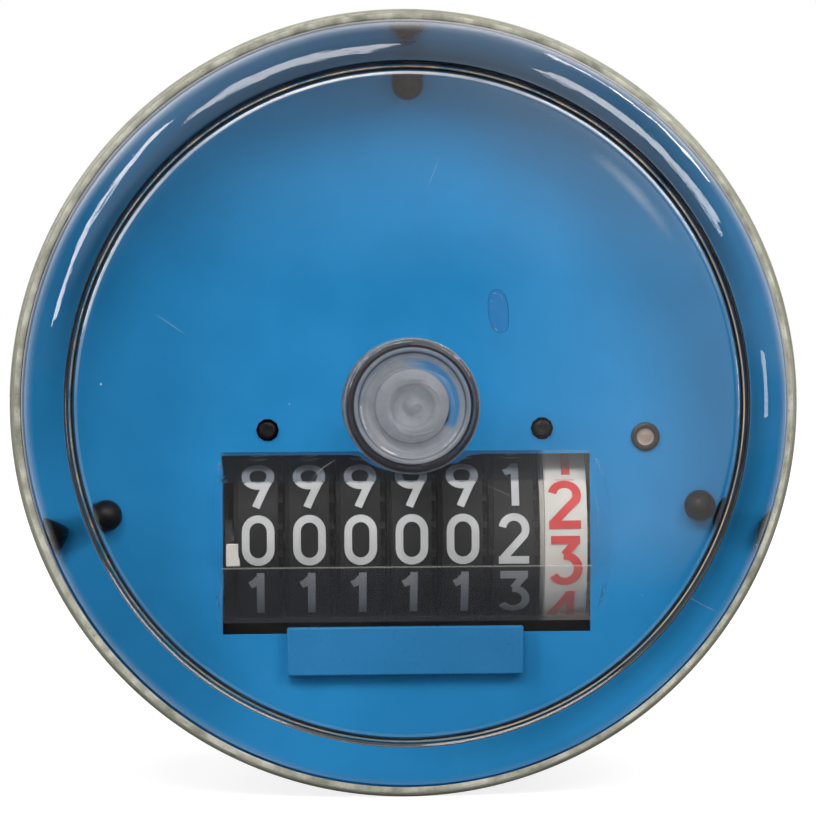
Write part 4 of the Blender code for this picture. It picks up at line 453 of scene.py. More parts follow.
def shield_material():
    """Clear over the flat middle, darkened and blurred over the slopes above and below, much less
    darkened over the tenths wheel, with a faint painted sheen and a painted highlight line along
    the flat's lower edge.
    """
    material = clear("shield_clear", (1.0, 1.0, 1.0), 1.16)
    tree, shader = glass_of(material)
    across, _, up = axes_of(tree, own_place(tree))
    level = range_of(tree, up, -24.2 * MM, -5.3 * MM)
    clean = (0.985, 0.985, 0.985)
    tint = ramp(tree, level, (0.0, (0.40, 0.41, 0.44)), (0.318, (0.47, 0.48, 0.51)),
                (0.334, clean), (0.818, clean), (0.832, (0.36, 0.39, 0.43)))
    beside = between(tree, across, (-20.4 * MM, -19.9 * MM), (20.8 * MM, 20.3 * MM))
    black_wheels = range_of(tree, across, 15.6 * MM, 14.8 * MM, 0.12, 1.0)
    tint = mixed(tree, product(tree, beside, black_wheels), clean, tint)
    blur = ramp(tree, level, (0.318, 0.15), (0.334, 0.01), (0.822, 0.01), (0.832, 0.08))
    # Painted sheen: a faint pale veil over the window, and a painted highlight line along the
    # lower edge of the flat
    edge = ramp(tree, level, (0.0, 0.07), (0.318, 0.05), (0.322, 0.02), (0.326, 0.4),
                (0.330, 0.012), (0.818, 0.012), (0.832, 0.035))
    feed(tree, shader, Base_Color=tint, Roughness=blur,
         Transmission_Weight=rest_of(tree, product(tree, edge, beside)))
    return material


SHIELD = shield_material()

FINISHES = {
    "zinc_casting": ZINC, "clear_plastic": SHIELD, "rubber": RUBBER, "steel": STEEL,
    "nylon": NYLON, "brass": BRASS, "frame_steel": BROWN, "lead_alloy": LEAD,
    "blue_paint": BLUE, "black_plastic": BLACK, "white_plastic": WHITE,
}


# Edges of the CAD parts: joined, slightly rounded and smooth over their curves
SMOOTH_ANGLE = 32
BEVEL_ANGLE = 40
BEVEL_WIDTH = 0.05 * MM
WELD_DISTANCE = 0.001 * MM


def smoothing_group():
    """Geometry nodes that shade smooth, apart from edges over a given angle."""
    group = bpy.data.node_groups.new("smooth_curves", "GeometryNodeTree")
    for way in ("INPUT", "OUTPUT"):
        group.interface.new_socket("Geometry", in_out=way, socket_type="NodeSocketGeometry")
    new = group.nodes.new
    faces = feed(group, new("GeometryNodeSetShadeSmooth"), domain="FACE",
                 Geometry=new("NodeGroupInput").outputs[0])
    angle = new("GeometryNodeInputMeshEdgeAngle").outputs["Unsigned Angle"]
    test = feed(group, new("FunctionNodeCompare"), data_type="FLOAT", operation="LESS_THAN",
                A=angle, B=math.radians(SMOOTH_ANGLE))
    edges = feed(group, new("GeometryNodeSetShadeSmooth"), domain="EDGE",
                 Geometry=faces.outputs["Geometry"], Shade_Smooth=test.outputs["Result"])
    feed(group, new("NodeGroupOutput"), Geometry=edges.outputs["Geometry"])
    return group


SMOOTHING = smoothing_group()


def even_shading(piece):
    """Flat faces stay flat beside their rounded edges."""
    even = piece.modifiers.new("even", "WEIGHTED_NORMAL")
    even.mode = "FACE_AREA"
    even.keep_sharp = True


def finish_node(piece, material):
    piece.data.materials.clear()
    piece.data.materials.append(material)
    weld = piece.modifiers.new("joined", "WELD")
    weld.merge_threshold = WELD_DISTANCE
    bevel = piece.modifiers.new("rounded", "BEVEL")
    bevel.width = BEVEL_WIDTH
    bevel.segments = 2
    bevel.limit_method = "ANGLE"
    bevel.angle_limit = math.radians(BEVEL_ANGLE)
    smooth = piece.modifiers.new("smooth", "NODES")
    smooth.node_group = SMOOTHING
    even_shading(piece)


OWN_FINISHES = {
    "unit_plate": BLUE_PLATE,
    "front_bushing": DULL,
    "main_axle": DULL,
    "front_hub_bush": DULL,
}

for entry in frame["record"]["subparts"]:
    name = entry["node"]
    finish_node(nodes[name], OWN_FINISHES.get(name, FINISHES[entry["material_slot"]]))


# New pieces
MERGE = 0.0005 * MM


def in_scene(name, data):
    thing = bpy.data.objects.new(name, data)
    scene.collection.objects.link(thing)
    return thing


def place_piece(name, mesh, body, smooth):
    """An object for a finished mesh, smooth over its curves, on its body."""
    mesh.polygons.foreach_set("use_smooth", [True] * len(mesh.polygons))
    mesh.set_sharp_from_angle(angle=math.radians(smooth))
    piece = in_scene(name, mesh)
    even_shading(piece)
    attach(piece, body)
    return piece


def mesh_piece(name, verts, faces, materials, body, smooth, parts=None):
    """A piece from points and faces. Each face may name its material by number."""
    mesh = bpy.data.meshes.new(name)
    mesh.from_pydata(verts, [], faces)
    for material in materials:
        mesh.materials.append(material)
    if parts:
        mesh.polygons.foreach_set("material_index", parts)
    mesh.validate()
    edit = bmesh.new()
    edit.from_mesh(mesh)
    bmesh.ops.remove_doubles(edit, verts=edit.verts, dist=MERGE)
    bmesh.ops.recalc_face_normals(edit, faces=edit.faces)
    edit.to_mesh(mesh)
    edit.free()
    return place_piece(name, mesh, body, smooth)


def turned(name, profile, materials, body, steps=256, parts=None,
           smooth=SMOOTH_ANGLE):
    """A profile of (radius, depth) points, closed, turned about the main axis."""
    verts, faces, kinds = [], [], []
    count = len(profile)
    for step in range(steps):
        angle = FULL_TURN * step / steps
        after = (step + 1) % steps
        for index, (radius, depth) in enumerate(profile):
            verts.append((radius * math.cos(angle), depth + RIM_PLANE, radius * math.sin(angle)))
            following = (index + 1) % count
            if radius == 0 and profile[following][0] == 0:
                continue
            faces.append((step * count + index, step * count + following,
                          after * count + following, after * count + index))
            kinds.append(parts[index] if parts else 0)
    return mesh_piece(name, verts, faces, materials, body, smooth, kinds)


def oval(centre, across, deep, start, end, points):
    """Points of an elliptical arc, angles in degrees."""
    result = []
    for index in range(points):
        angle = math.radians(start + (end - start) * index / (points - 1))
        result.append((centre[0] + across * math.cos(angle), centre[1] + deep * math.sin(angle)))
    return result


def scaled(points, base):
    """Points in millimetres, with depths from a base given in metres."""
    return [(radius * MM, base + depth * MM) for radius, depth in points]


# Clear cover: the flat face stands a small step above the rounded shoulder
FACE_Y = -8.0 * MM
SHOULDER_Y = -2.4 * MM
SHOULDER_ACROSS = 5.6 * MM
SHOULDER_DEEP = 5.2 * MM
SHOULDER_R = 35.9 * MM
EDGE_LINE = ((35.41, 0.200), (35.39, 0.170), (35.36, 0.145), (35.08, 0.062), (35.02, 0.047),
             (34.92, 0.027), (34.80, 0.011), (34.64, 0.002))
GROOVE_LINE = ((36.38, 0.46), (36.26, 0.62), (36.14, 0.64), (36.04, 0.54), (35.94, 0.42),
               (35.84, 0.38), (35.74, 0.42), (35.64, 0.54), (35.56, 0.60), (35.48, 0.55),
               (35.43, 0.44))
BOSS_STEPS = ((6.28, 0), (6.22, 0.16), (6.12, 0.2), (6.04, 0.14), (5.98, 0.02), (5.72, 0),
              (5.62, 0.06), (5.54, 0.3), (5.44, 0.38), (5.2, 0.40))
DISH_DEEP = 0.40
DISH_SWELL = 0.14
BOSS_FILLET = 0.05 * MM
BOSS_EDGE = 0.65 * MM
BOSS_FRONT = -18.0 * MM
BORE_R = 4.9 * MM
BORE_FRONT = -15.0 * MM
FOOT_R = 42.15 * MM
FOOT_FRONT = 1.2 * MM
FOOT_BACK = 6.0 * MM
INNER_Y = -5.5 * MM
INNER_R = 39.5 * MM
INNER_SHOULDER = 3.2 * MM


def cover_profile():
    outside = [(FOOT_R, FOOT_BACK - 0.25 * MM), (FOOT_R, FOOT_FRONT + 0.15 * MM),
               (FOOT_R - 0.15 * MM, FOOT_FRONT), (SHOULDER_R + SHOULDER_ACROSS, FOOT_FRONT)]
    outside += oval((SHOULDER_R, SHOULDER_Y), SHOULDER_ACROSS, SHOULDER_DEEP, 0, -83, 44)
    first = len(outside)
    outside += scaled(GROOVE_LINE + EDGE_LINE, FACE_Y)
    last = len(outside) - 1
    outside += scaled(((34.2, 0), (33.0, 0)), FACE_Y)
    outside += [(BOSS_R + 2 * MM, FACE_Y), (BOSS_BASE_R + 0.4 * MM, FACE_Y)]
    outside += oval((BOSS_BASE_R + BOSS_FILLET, FACE_Y - BOSS_FILLET), BOSS_FILLET, BOSS_FILLET,
                    90, 180, 5)
    outside += [(BOSS_BASE_R, FACE_Y - 1 * MM), (BOSS_R, BOSS_FRONT + 1.2 * MM)]
    boss = len(outside) - 1
    outside += oval((BOSS_R - BOSS_EDGE, BOSS_FRONT + BOSS_EDGE), BOSS_EDGE, BOSS_EDGE, 0, -80, 10)
    outside += scaled(BOSS_STEPS, BOSS_FRONT)
    for step in range(12, 0, -1):
        radius = 0.4 * step
        deep = DISH_DEEP + DISH_SWELL * math.sin((BOSS_STEPS[-1][0] - radius) * 1.9)
        outside += scaled([(radius, deep)], BOSS_FRONT)
    outside.append((0, BOSS_FRONT + 0.42 * MM))
    inside = [(0, BORE_FRONT), (BORE_R - 0.4 * MM, BORE_FRONT), (BORE_R, BORE_FRONT + 0.4 * MM),
              (BORE_R, INNER_Y - 0.4 * MM), (BORE_R + 0.4 * MM, INNER_Y)]
    inside += oval((INNER_R - INNER_SHOULDER, INNER_Y + INNER_SHOULDER), INNER_SHOULDER,
                   INNER_SHOULDER, -90, 0, 12)
    inside += [(INNER_R, FOOT_BACK), (FOOT_R - 0.25 * MM, FOOT_BACK)]
    # Materials by number: outside, inside, groove and end of the boss
    parts = [0] * first + [2] * (last - first) + [0] * (boss - last)
    parts += [3] * (len(outside) - 1 - boss) + [1] * (len(inside) + 1)
    return outside + inside, parts


def build_cover():
    profile, parts = cover_profile()
    materials = [COVER, JOINED, GROOVE, BOSS_END]
    cover = turned("clear_cover", profile, materials, "housing", parts=parts,
                   smooth=50)
    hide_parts("front_cover")


build_cover()


# Housing, with rounded and machined edges
RIM_R = 43.0 * MM
LIP_R = 41.8 * MM
LIP_DEPTH = 0.9 * MM
SEAT_R = 42.45 * MM
SEAT_DEPTH = 7.7 * MM
BAND_DEPTH = 8.6 * MM
BAND_SLOPE = 1.6 * MM
BODY_R = 41.9 * MM
CHAMBER_R = 40.2 * MM
CHAMBER_DEPTH = 36.0 * MM
SOCKET_R = 3.3 * MM
SOCKET_DEPTH = 39.4 * MM
BACK_DEPTH = 38.2 * MM
BACK_ROUNDING = 5.0 * MM
HUB_R = 13.0 * MM
HUB_DEPTH = 43.5 * MM
STUD_SOCKET = 40.8 * MM
STUD_BORE_R = 4.8 * MM
STUD_MOUTH_R = 6.85 * MM
STUD_MOUTH = 43.0 * MM
CORNER_SHARE = 0.45
LEAST_CORNER = 0.01 * MM


def rounded(profile, radius):
    """A closed profile with each corner replaced by a short curve, where there is room."""
    result = []
    count = len(profile)
    for index, (x, y) in enumerate(profile):
        corner = Vector((x, y))
        before = Vector(profile[index - 1]) - corner
        after = Vector(profile[(index + 1) % count]) - corner
        reach = min(radius, before.length * CORNER_SHARE, after.length * CORNER_SHARE)
        if x == 0 or reach < LEAST_CORNER:
            result.append((x, y))
            continue
        first = corner + before.normalized() * reach
        last = corner + after.normalized() * reach
        for share in (0, 1 / 3, 2 / 3, 1):
            spot = first * (1 - share) ** 2 + corner * 2 * share * (1 - share) + last * share ** 2
            result.append((spot.x, spot.y))
    return result


def build_housing():
    back = oval((BODY_R - BACK_ROUNDING, BACK_DEPTH - BACK_ROUNDING), BACK_ROUNDING, BACK_ROUNDING,
                90, 0, 10)
    cast = [(HUB_R, HUB_DEPTH), (HUB_R, BACK_DEPTH + 1.2 * MM), (HUB_R + 1.2 * MM, BACK_DEPTH)]
    cast = rounded([(0, BACK_DEPTH)] + cast, 0.7 * MM)[1:]
    # The outer corners of the band only give its ends their direction
    band = rounded([(BODY_R, 30 * MM), (BODY_R, BAND_DEPTH + BAND_SLOPE), (RIM_R, BAND_DEPTH),
                    (RIM_R, 5 * MM)], 0.3 * MM)[4:-4]
    rim = oval((RIM_R - 0.5 * MM, 0.5 * MM), 0.5 * MM, 0.5 * MM, 0, -90, 7)
    rim += [(LIP_R + 0.24 * MM, 0), (LIP_R + 0.04 * MM, 0.16 * MM), (LIP_R, 0.24 * MM)]
    inside = [(LIP_R, LIP_DEPTH), (SEAT_R, LIP_DEPTH), (SEAT_R, SEAT_DEPTH),
              (CHAMBER_R, SEAT_DEPTH), (CHAMBER_R, CHAMBER_DEPTH - 2 * MM),
              (CHAMBER_R - 2 * MM, CHAMBER_DEPTH), (SOCKET_R, CHAMBER_DEPTH),
              (SOCKET_R, SOCKET_DEPTH), (0, SOCKET_DEPTH)]
    stud = [(0, STUD_SOCKET), (STUD_BORE_R, STUD_SOCKET), (STUD_BORE_R, STUD_MOUTH),
            (STUD_MOUTH_R, STUD_MOUTH), (STUD_MOUTH_R, HUB_DEPTH)]
    outside = cast + back + band
    profile = stud + outside + rim + inside
    # Materials by number: cast, turned, bright edge, and painted shade on the lip and seat under
    # the cover's foot
    parts = [0] * (len(stud) + len(outside) - 1) + [1] * (len(rim) - 3) + [2, 2]
    parts += [3] * 4 + [0] * (len(inside) - 2)
    housing = turned("housing_body", profile, [ZINC, ZINC_TURNED, ZINC_BRIGHT, SEAT_SHADE], "housing",
                     parts=parts, smooth=40)
    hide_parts("housing")


build_housing()


# Small pieces seen through the cover
DIAL_FRONT = 11.0 * MM


def build_hub_washer():
    corners = ((4.0, -0.25), (6.6, -0.25), (6.6, -0.02), (4.0, -0.02))
    profile = rounded(scaled(corners, DIAL_FRONT), 0.08 * MM)
    turned("hub_washer", profile, [WASHER_GREY], "pendulum", steps=96)


def small_disc(name, x, z, profile, materials, parts=None):
    """A turned piece of the dial, moved sideways by millimetres in the dial's plane."""
    piece = turned(name, profile, materials, "pendulum", 48, parts)
    piece.data.transform(Matrix.Translation((x * MM, 0, z * MM)))
    return piece


def build_eyelet():
    front = DIAL_FRONT - 0.35 * MM
    edge = oval((1.25 * MM, front + 0.3 * MM), 0.35 * MM, 0.3 * MM, 0, -90, 6)
    dome = scaled(((1.02, 0.04), (0.95, 0.16), (0.86, 0.20), (0.5, 0.15), (0, 0.13)), front)
    back = scaled(((0, 1.25), (0.9, 1.25), (0.9, -0.03), (1.6, -0.03)), DIAL_FRONT)
    parts = [0] * (len(edge) + 1) + [1] * (len(dome) - 1) + [0] * len(back)
    eyelet = small_disc("dial_rivet", 26.8, -3.9, edge + dome + back, [RIVET_DARK, RIVET_PALE],
                        parts)
    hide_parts("dial_eyelet")


PIN_PLACES = {
    "dial_pin_top": (0.6, 35.2, 3.1),
    "dial_pin_left": (-32.9, -12.2, 6.0),
    "dial_pin_right": (32.8, -11.6, 6.0),
}
PEG_PLACES = {
    "dial_peg_left": (-15.1, -2.9),
    "dial_peg_right": (15.3, -2.9),
}
PIN_SEAT = DIAL_FRONT - 0.3 * MM


def build_pins():
    for node, (x, z, shank) in PIN_PLACES.items():
        head = oval((0, PIN_SEAT - 0.12 * MM), 1.75 * MM, 1.48 * MM, 0, -90, 14)
        head[-1] = (0, PIN_SEAT - 1.6 * MM)
        profile = head + scaled(((0, shank), (0.9, shank), (0.9, 0), (1.66, 0)), PIN_SEAT)
        pin = small_disc(node.replace("dial_", "domed_"), x, z, profile, [PIN_BLACK])
        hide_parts(node)
    for node, (x, z) in PEG_PLACES.items():
        front = DIAL_FRONT - 0.5 * MM
        profile = oval((0.7 * MM, front + 0.2 * MM), 0.25 * MM, 0.2 * MM, 0, -90, 5)
        profile += scaled(((0.3, 0.03), (0, 0.05), (0, 2.6), (0.95, 2.6)), front)
        peg = small_disc(node.replace("dial_", "round_"), x, z, profile, [PIN_BLACK])
        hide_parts(node)


TAB_MIDDLE = (-18.975 * MM, 10.15 * MM + RIM_PLANE, -16.65 * MM)
TAB_SIZE = (1.55 * MM, 0.8 * MM, 2.5 * MM)
TAB_EDGE = 0.15 * MM


def build_guide_tab():
    """A small white block with rounded edges, left of the wheels."""
    mesh = bpy.data.meshes.new("guide_tab")
    place = Matrix.Translation(TAB_MIDDLE) @ Matrix.Diagonal((*TAB_SIZE, 1))
    edit = bmesh.new()
    bmesh.ops.create_cube(edit, size=1, matrix=place)
    bmesh.ops.bevel(edit, geom=edit.edges[:], offset=TAB_EDGE, segments=3, affect="EDGES",
                    profile=0.5)
    edit.to_mesh(mesh)
    edit.free()
    mesh.materials.append(WHITE)
    place_piece("guide_tab", mesh, "pendulum", 40)


SHIELD_TOP = -5.3 * MM
SHIELD_FACE_TOP = -8.6 * MM
SHIELD_FACE_BOTTOM = -18.0 * MM
SHIELD_BOTTOM = -24.2 * MM
SHIELD_HEIGHT = 3.0 * MM
SHIELD_WALL = 0.8 * MM
SHIELD_BACK = 10.7 * MM
SHIELD_ENDS = (-20.7 * MM, 21.1 * MM)
SHIELD_BULGE = (1.3 * MM, 2.5 * MM)
SHIELD_ROWS = (8, 16, 12)
SHIELD_COLUMNS = 96
END_ROUNDNESS = 0.6
END_SLOPE = (1.6 * MM, 1.2 * MM)
EDGE_BLEND = 0.5 * MM


def shield_skin(inset):
    """Rows of points over the shield's outer or inner face, from its top edge down."""
    stops = [SHIELD_TOP - inset, SHIELD_FACE_TOP, SHIELD_FACE_BOTTOM, SHIELD_BOTTOM + inset]
    rises = [0, SHIELD_HEIGHT - inset, SHIELD_HEIGHT - inset, 0]
    rows = []
    for section, parts in enumerate(SHIELD_ROWS):
        for part in range(parts + (section == 2)):
            share = part / parts
            z = stops[section] + (stops[section + 1] - stops[section]) * share
            rise = rises[section] + (rises[section + 1] - rises[section]) * share
            across = (z - (SHIELD_TOP + SHIELD_BOTTOM) / 2) / (SHIELD_TOP - SHIELD_BOTTOM) * 2
            swell = max(0.0, 1 - across * across) ** END_ROUNDNESS
            left = SHIELD_ENDS[0] - SHIELD_BULGE[0] * swell + inset
            right = SHIELD_ENDS[1] + SHIELD_BULGE[1] * swell - inset
            row = []
            for index in range(SHIELD_COLUMNS + 1):
                turn = math.pi * index / SHIELD_COLUMNS
                x = (left + right) / 2 - (right - left) / 2 * math.cos(turn)
                from_end = min(x - left, right - x) / (END_SLOPE[0] + END_SLOPE[1] * swell)
                end_rise = SHIELD_HEIGHT * math.sin(min(1.0, from_end) * math.pi / 2)
                near = max(0.0, EDGE_BLEND - abs(rise - end_rise)) / EDGE_BLEND
                height = max(0.0, min(rise, end_rise) - near * near * EDGE_BLEND / 4)
                row.append((x, SHIELD_BACK - height + RIM_PLANE, z))
            rows.append(row)
    return rows


def build_shield():
    """Clear cap over the wheels: facets above and below, bulging rounded ends, open back."""
    verts, faces, rims = [], [], []
    for inset in (0, SHIELD_WALL):
        skin = []
        for row in shield_skin(inset):
            skin.append(list(range(len(verts), len(verts) + len(row))))
            verts += row
        for line, below in zip(skin, skin[1:]):
            for index in range(SHIELD_COLUMNS):
                face = (line[index], line[index + 1], below[index + 1], below[index])
                faces.append(face[::-1] if inset else face)
        rims.append(skin[0] + [row[-1] for row in skin[1:]] + skin[-1][-2::-1]
                    + [row[0] for row in skin[-2:0:-1]])
    outer, inner = rims
    for index in range(len(outer)):
        faces.append((outer[index - 1], outer[index], inner[index], inner[index - 1]))
    shield = mesh_piece("counter_shield", verts, faces, [SHIELD], "pendulum",
                        smooth=16)
    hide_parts("counter_lens")


BUBBLE_PLACE = (9.75 * MM, -5.02 * MM + RIM_PLANE, 9.9 * MM)
BUBBLE_SIZE = (1.12, 0.42, 2.35)


def build_bubble():
    """A trapped bubble of air in the liquid, under the face of the cover."""
    mesh = bpy.data.meshes.new("air_bubble")
    edit = bmesh.new()
    bmesh.ops.create_uvsphere(edit, u_segments=40, v_segments=24, radius=1)
    for vert in edit.verts:
        x, y, z = vert.co
        wide, deep, tall = BUBBLE_SIZE
        wide *= math.copysign(abs(x) ** 0.8, x)
        tall *= math.copysign(abs(z) ** 0.85, z)
        lean = -0.22 * z + 0.06 * z * z
        vert.co = Vector((wide + lean, y * deep, tall)) * MM
    edit.to_mesh(mesh)
    edit.free()
    mesh.transform(Matrix.Translation(BUBBLE_PLACE))
    mesh.materials.append(BUBBLE)
    mesh.polygons.foreach_set("use_smooth", [True] * len(mesh.polygons))
    bubble = in_scene("air_bubble", mesh)
    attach(bubble, "housing")


build_hub_washer()
build_eyelet()
build_pins()
build_guide_tab()
build_shield()
build_bubble()


# Figures on the number wheels, as thin raised strokes that follow the wheel's curve
WHEEL_RADIUS = 10.35 * MM
WHEEL_AXIS_Y = 19.85 * MM + RIM_PLANE
WHEEL_AXIS_Z = -15.05 * MM
WHEEL_FIRST_X = -16.2 * MM
WHEEL_PITCH = 5.65 * MM
TENTHS_X = 17.73 * MM
READINGS = {"units": 2, "tenths": 2.6}
DIGIT_ANGLE = FULL_TURN / 10
STROKE = 0.84
STROKE_LIFT = 0.004 * MM
MITRE_LIMIT = 0.45
LINE_STEP = 0.45
TOUCHING = 1e-6
FIGURE_LIFT = 0.03 * MM
FIGURE_SINK = 0.05 * MM


def loop(y, across, tall, straight=0.0):
    """Closed stroke: two half ellipses joined by straight sides."""
    top = oval((0, y + straight), across, tall, 0, 180, 12)
    return top + oval((0, y - straight), across, tall, 180, 360, 12)


# Each figure is a list of strokes without sharp corners, in millimetres: the centre line and
# whether it closes on itself
FIGURES = {
    0: [(loop(0, 1.38, 1.45, 0.95), True)],
    1: [([(0.22, 2.8), (0.22, -2.8)], False), ([(-0.95, 1.4), (-0.4, 1.65), (0.0, 2.2)], False)],
    2: [(oval((0, 1.05), 1.3, 1.36, 170, -28, 14) + [(-1.2, -2.2)], False),
        ([(-1.68, -2.4), (1.68, -2.4)], False)],
    3: [([(-1.5, 2.4), (1.55, 2.4)], False), ([(1.2, 2.4), (0.0, 0.75)], False),
        (oval((0, -0.88), 1.4, 1.52, 96, -150, 14), False)],
    4: [([(0.65, 2.8), (0.65, -2.8)], False), ([(0.6, 2.6), (-1.45, -1.15)], False),
        ([(-1.8, -1.2), (1.75, -1.2)], False)],
    5: [([(-1.45, 2.4), (1.5, 2.4)], False), ([(-1.1, 2.4), (-1.25, 0.2)], False),
        (oval((0, -0.85), 1.4, 1.55, 142, -150, 14), False)],
    6: [(loop(-1.1, 1.38, 1.32), True), ([(-1.25, -0.7), (0.25, 2.8)], False)],
    7: [([(-1.6, 2.4), (1.6, 2.4)], False), ([(1.2, 2.4), (-0.45, -2.8)], False)],
    8: [(loop(1.28, 1.15, 1.14), True), (loop(-1.13, 1.38, 1.28), True)],
    9: [(loop(1.1, 1.38, 1.32), True), ([(1.25, 0.7), (-0.25, -2.8)], False)],
}


def dense(line, closed):
    """The same line with points at most one step apart."""
    result = []
    ends = line + line[:1] if closed else line
    for first, second in zip(ends, ends[1:]):
        length = math.dist(first, second)
        if length < TOUCHING:
            continue
        parts = max(1, math.ceil(length / LINE_STEP))
        for part in range(parts):
            share = part / parts
            result.append((first[0] + (second[0] - first[0]) * share,
                           first[1] + (second[1] - first[1]) * share))
    if not closed:
        result.append(line[-1])
    return result


def sides(line, closed, half):
    """Left and right edges of a stroke, mitred at its corners."""
    count = len(line)
    left, right = [], []
    for index, (x, y) in enumerate(line):
        before = line[index - 1] if closed or index else None
        after = line[(index + 1) % count] if closed or index < count - 1 else None
        ways = []
        if before:
            ways.append(Vector((x - before[0], y - before[1])).normalized())
        if after:
            ways.append(Vector((after[0] - x, after[1] - y)).normalized())
        way = sum(ways, Vector((0, 0))).normalized()
        across = Vector((-way.y, way.x))
        stretch = 1 / max(MITRE_LIMIT, abs(way.dot(ways[0])))
        left.append((x + across.x * half * stretch, y + across.y * half * stretch))
        right.append((x - across.x * half * stretch, y - across.y * half * stretch))
    return left, right


def on_wheel(across, up, centre_x, turn, radius):
    angle = turn - up * MM / WHEEL_RADIUS
    return (centre_x + across * MM, WHEEL_AXIS_Y - radius * math.cos(angle),
            WHEEL_AXIS_Z - radius * math.sin(angle))


def build_figures(name, centre_x, reading, body, material, width=1.0, stroke=STROKE):
    verts, faces = [], []
    for digit, strokes in FIGURES.items():
        turn = (digit - reading) * DIGIT_ANGLE
        for order, (line, closed) in enumerate(strokes):
            points = dense(line, closed)
            left, right = sides(points, closed, stroke / 2)
            count = len(points)
            base = len(verts)
            top = WHEEL_RADIUS + FIGURE_LIFT + order * STROKE_LIFT
            low = WHEEL_RADIUS - FIGURE_SINK
            for one, other in zip(left, right):
                for (x, y), radius in ((one, top), (other, top), (other, low), (one, low)):
                    verts.append(on_wheel(x * width, y, centre_x, turn, radius))
            last = count if closed else count - 1
            for index in range(last):
                a = base + 4 * index
                b = base + 4 * ((index + 1) % count)
                for side, after in ((0, 1), (1, 2), (2, 3), (3, 0)):
                    faces.append((a + side, a + after, b + after, b + side))
            if not closed:
                faces.append((base, base + 1, base + 2, base + 3))
                end = base + 4 * (count - 1)
                faces.append((end + 3, end + 2, end + 1, end))
    mesh_piece(name, verts, faces, [material], body, 40)


for order, wheel in enumerate(WHEEL_NAMES):
    build_figures("figures_" + wheel, WHEEL_FIRST_X + order * WHEEL_PITCH, READINGS.get(wheel, 0),
                  "number_" + wheel, FIGURE_WHITE)
build_figures("figures_tenths", TENTHS_X, READINGS["tenths"], "tenths", FIGURE_RED, width=1.05,
              stroke=0.9)


# Camera, at the photograph's angle
SUBJECT_WIDTH = 88.95 * MM
DISTANCE = 300 * MM
CAMERA_LEFT = math.radians(2.3)
CAMERA_UP = math.radians(0.9)
AIM = Vector((0.26 * MM, RIM_PLANE, -0.48 * MM))
ROLL = math.radians(0.35)
SENSOR = 36.0


def build_camera():
    data = bpy.data.cameras.new("camera")
    data.sensor_width = SENSOR
    data.lens = SENSOR * DISTANCE / SUBJECT_WIDTH
    data.clip_start = 0.01
    data.clip_end = 20
    camera = in_scene("camera", data)
    back = Vector((-math.sin(CAMERA_LEFT), -1, math.sin(CAMERA_UP))).normalized()
    camera.location = AIM + back * DISTANCE
    turn = (-back).to_track_quat("-Z", "Y").to_matrix().to_4x4()
    place = Matrix.Translation(camera.location)
    camera.matrix_world = place @ turn @ Matrix.Rotation(-ROLL, 4, "Z")
    scene.camera = camera


build_camera()


# Floor, world and lamps
FLOOR_Z = -43.0 * MM
FLOOR_HALF = 4.0
FLOOR_GREY = (0.34, 0.34, 0.34, 1)
SHADOW_REACH = (0.04, 0.35)
ROOM_TINT = (1.0, 0.95, 0.92, 1)
WHITE_LIGHT = (1, 1, 1, 1)
AMBIENT = 0.3


def mirrored(tree, direction):
    """Brightness of what shiny surfaces mirror: a dim room in front, lighter above and to the
    right, and the white backdrop behind the object."""
    x, y, z = axes_of(tree, direction)
    right = product(tree, range_of(tree, x, 0.06, 0.15, 0.0, 1.2),
                    range_of(tree, z, -0.14, -0.08, 0.05, 1.0),
                    range_of(tree, y, -0.975, -0.93, 1.0, 0.12))
    above = product(tree, range_of(tree, z, 0.03, 0.10), range_of(tree, x, -0.05, 0.08, 0.5, 1.7),
                    range_of(tree, y, -0.975, -0.93, 1.0, 0.25))
    overhead = product(tree, range_of(tree, z, 0.2, 0.34, 0.0, 0.95),
                       range_of(tree, x, 0.6, 0.35), range_of(tree, x, -0.85, -0.7))
    room = combined(tree, "ADD", right, above, overhead)
    return largest(tree, room, range_of(tree, y, 0.45, 0.9))


def seen(tree, path):
    """One for what the camera sees, also through glass."""
    return largest(tree, path.outputs["Is Camera Ray"], path.outputs["Is Transmission Ray"])


def build_floor():
    """Pale floor that keeps the shadow near the object and is plain white farther out."""
    material, tree, output = new_tree("studio_floor")
    place = own_place(tree)
    path = add(tree, "LightPath")
    diffuse = add(tree, "BsdfDiffuse", Color=FLOOR_GREY)
    level = range_of(tree, length_of(tree, place), *SHADOW_REACH, 0.84, 1.0)
    glow = add(tree, "Emission", Strength=product(tree, seen(tree, path), level))
    plain = add(tree, "AddShader")
    put(tree, diffuse.outputs["BSDF"], plain.inputs[0])
    put(tree, glow.outputs["Emission"], plain.inputs[1])
    lower = add(tree, "VectorMath", operation="ADD", Vector=place)
    lower.inputs[1].default_value = (0, 0, FLOOR_Z)
    direction = add(tree, "VectorMath", operation="NORMALIZE", Vector=lower.outputs["Vector"])
    image = add(tree, "Emission", Color=ROOM_TINT,
                Strength=mirrored(tree, direction.outputs["Vector"]))
    put(tree, mixed_shaders(tree, path.outputs["Is Glossy Ray"], plain.outputs["Shader"],
                            image.outputs["Emission"]), output.inputs["Surface"])
    mesh = bpy.data.meshes.new("studio_floor")
    corners = ((-1, -1), (1, -1), (1, 1), (-1, 1))
    mesh.from_pydata([(FLOOR_HALF * x, FLOOR_HALF * y, 0) for x, y in corners], [],
                     [(0, 1, 2, 3)])
    mesh.materials.append(material)
    floor = in_scene("studio_floor", mesh)
    floor.location.z = FLOOR_Z


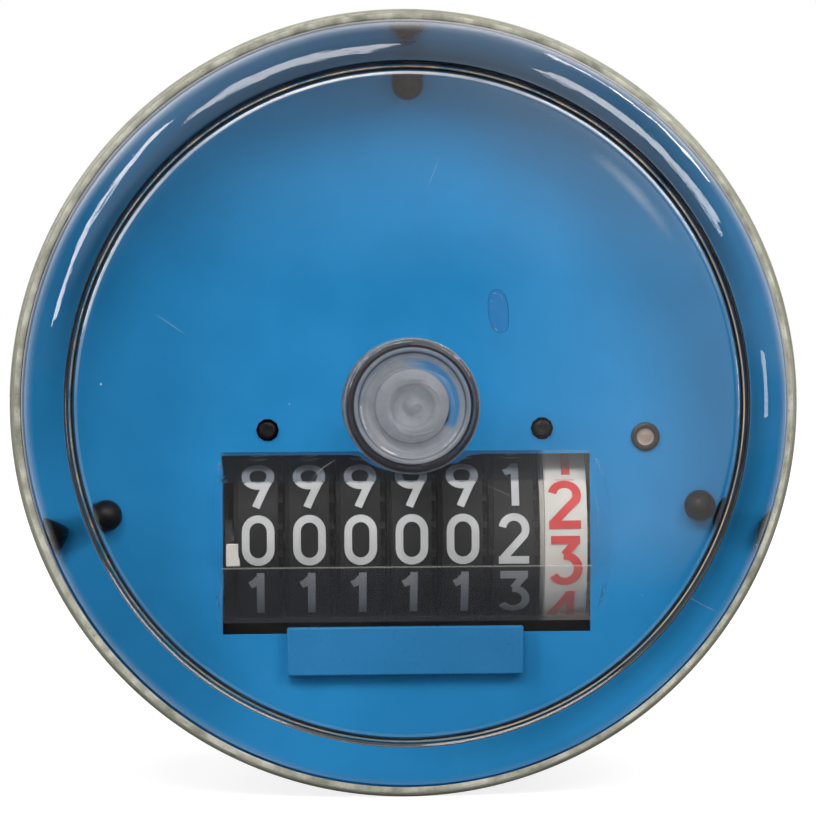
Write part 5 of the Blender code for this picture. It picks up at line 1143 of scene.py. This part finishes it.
def build_world():
    """White behind the object; mirrored in front, a dim room that is lighter above and right."""
    world = bpy.data.worlds.new("studio")
    scene.world = world
    world.use_nodes = True
    tree = world.node_tree
    tree.nodes.clear()
    output = tree.nodes.new("ShaderNodeOutputWorld")
    path = add(tree, "LightPath")
    direction = add(tree, "TexCoord").outputs["Generated"]
    room = add(tree, "Background", Color=ROOM_TINT, Strength=mirrored(tree, direction))
    white = add(tree, "Background", Color=WHITE_LIGHT)
    ambient = add(tree, "Background", Color=WHITE_LIGHT, Strength=AMBIENT)
    inside = mixed_shaders(tree, path.outputs["Is Glossy Ray"], ambient.outputs["Background"],
                           room.outputs["Background"])
    put(tree, mixed_shaders(tree, seen(tree, path), inside, white.outputs["Background"]),
        output.inputs["Surface"])


def build_lamp(name, direction, distance, size, watts, roll=0, aim=(0, 0, 0), spread=180,
               shine=True):
    data = bpy.data.lights.new(name, "AREA")
    data.shape = "RECTANGLE"
    data.size, data.size_y = size
    data.energy = watts
    data.spread = math.radians(spread)
    lamp = in_scene(name, data)
    lamp.location = Vector(direction).normalized() * distance
    way = (lamp.location - Vector(aim)).normalized()
    outward = Vector((way.x, 0, way.z)).normalized()
    along = Vector((-outward.z, 0, outward.x))
    axes = Matrix((along, way.cross(along), way)).transposed()
    lamp.rotation_mode = "QUATERNION"
    turn = Matrix.Rotation(math.radians(roll), 3, "Z")
    lamp.rotation_quaternion = (axes @ turn).to_quaternion()
    lamp.visible_glossy = shine


def towards(azimuth, off_axis):
    """Direction at an angle off the front axis, its azimuth seen from the front."""
    side = math.sin(math.radians(off_axis))
    turn = math.radians(azimuth)
    return (side * math.cos(turn), -math.cos(math.radians(off_axis)), side * math.sin(turn))


build_floor()
build_world()
build_lamp("lamp_left", towards(147, 64), 0.9, (0.60, 0.13), 3.2, 26)
build_lamp("lamp_upper", towards(107, 51), 0.9, (0.42, 0.27), 3.2, -22)
build_lamp("lamp_right", towards(46, 54), 0.9, (0.5, 0.2), 3.0)
build_lamp("lamp_side", towards(0, 58), 0.9, (0.18, 0.13), 0.5)
build_lamp("lamp_edge", towards(50, 104), 0.9, (0.5, 0.06), 1.4)
build_lamp("lamp_front", towards(-98, 30), 1.2, (0.8, 0.8), 14.0)
build_lamp("lamp_low", towards(-86, 36), 0.26, (0.16, 0.08), 2.6, 0, (0, 0, -0.024), 45, False)
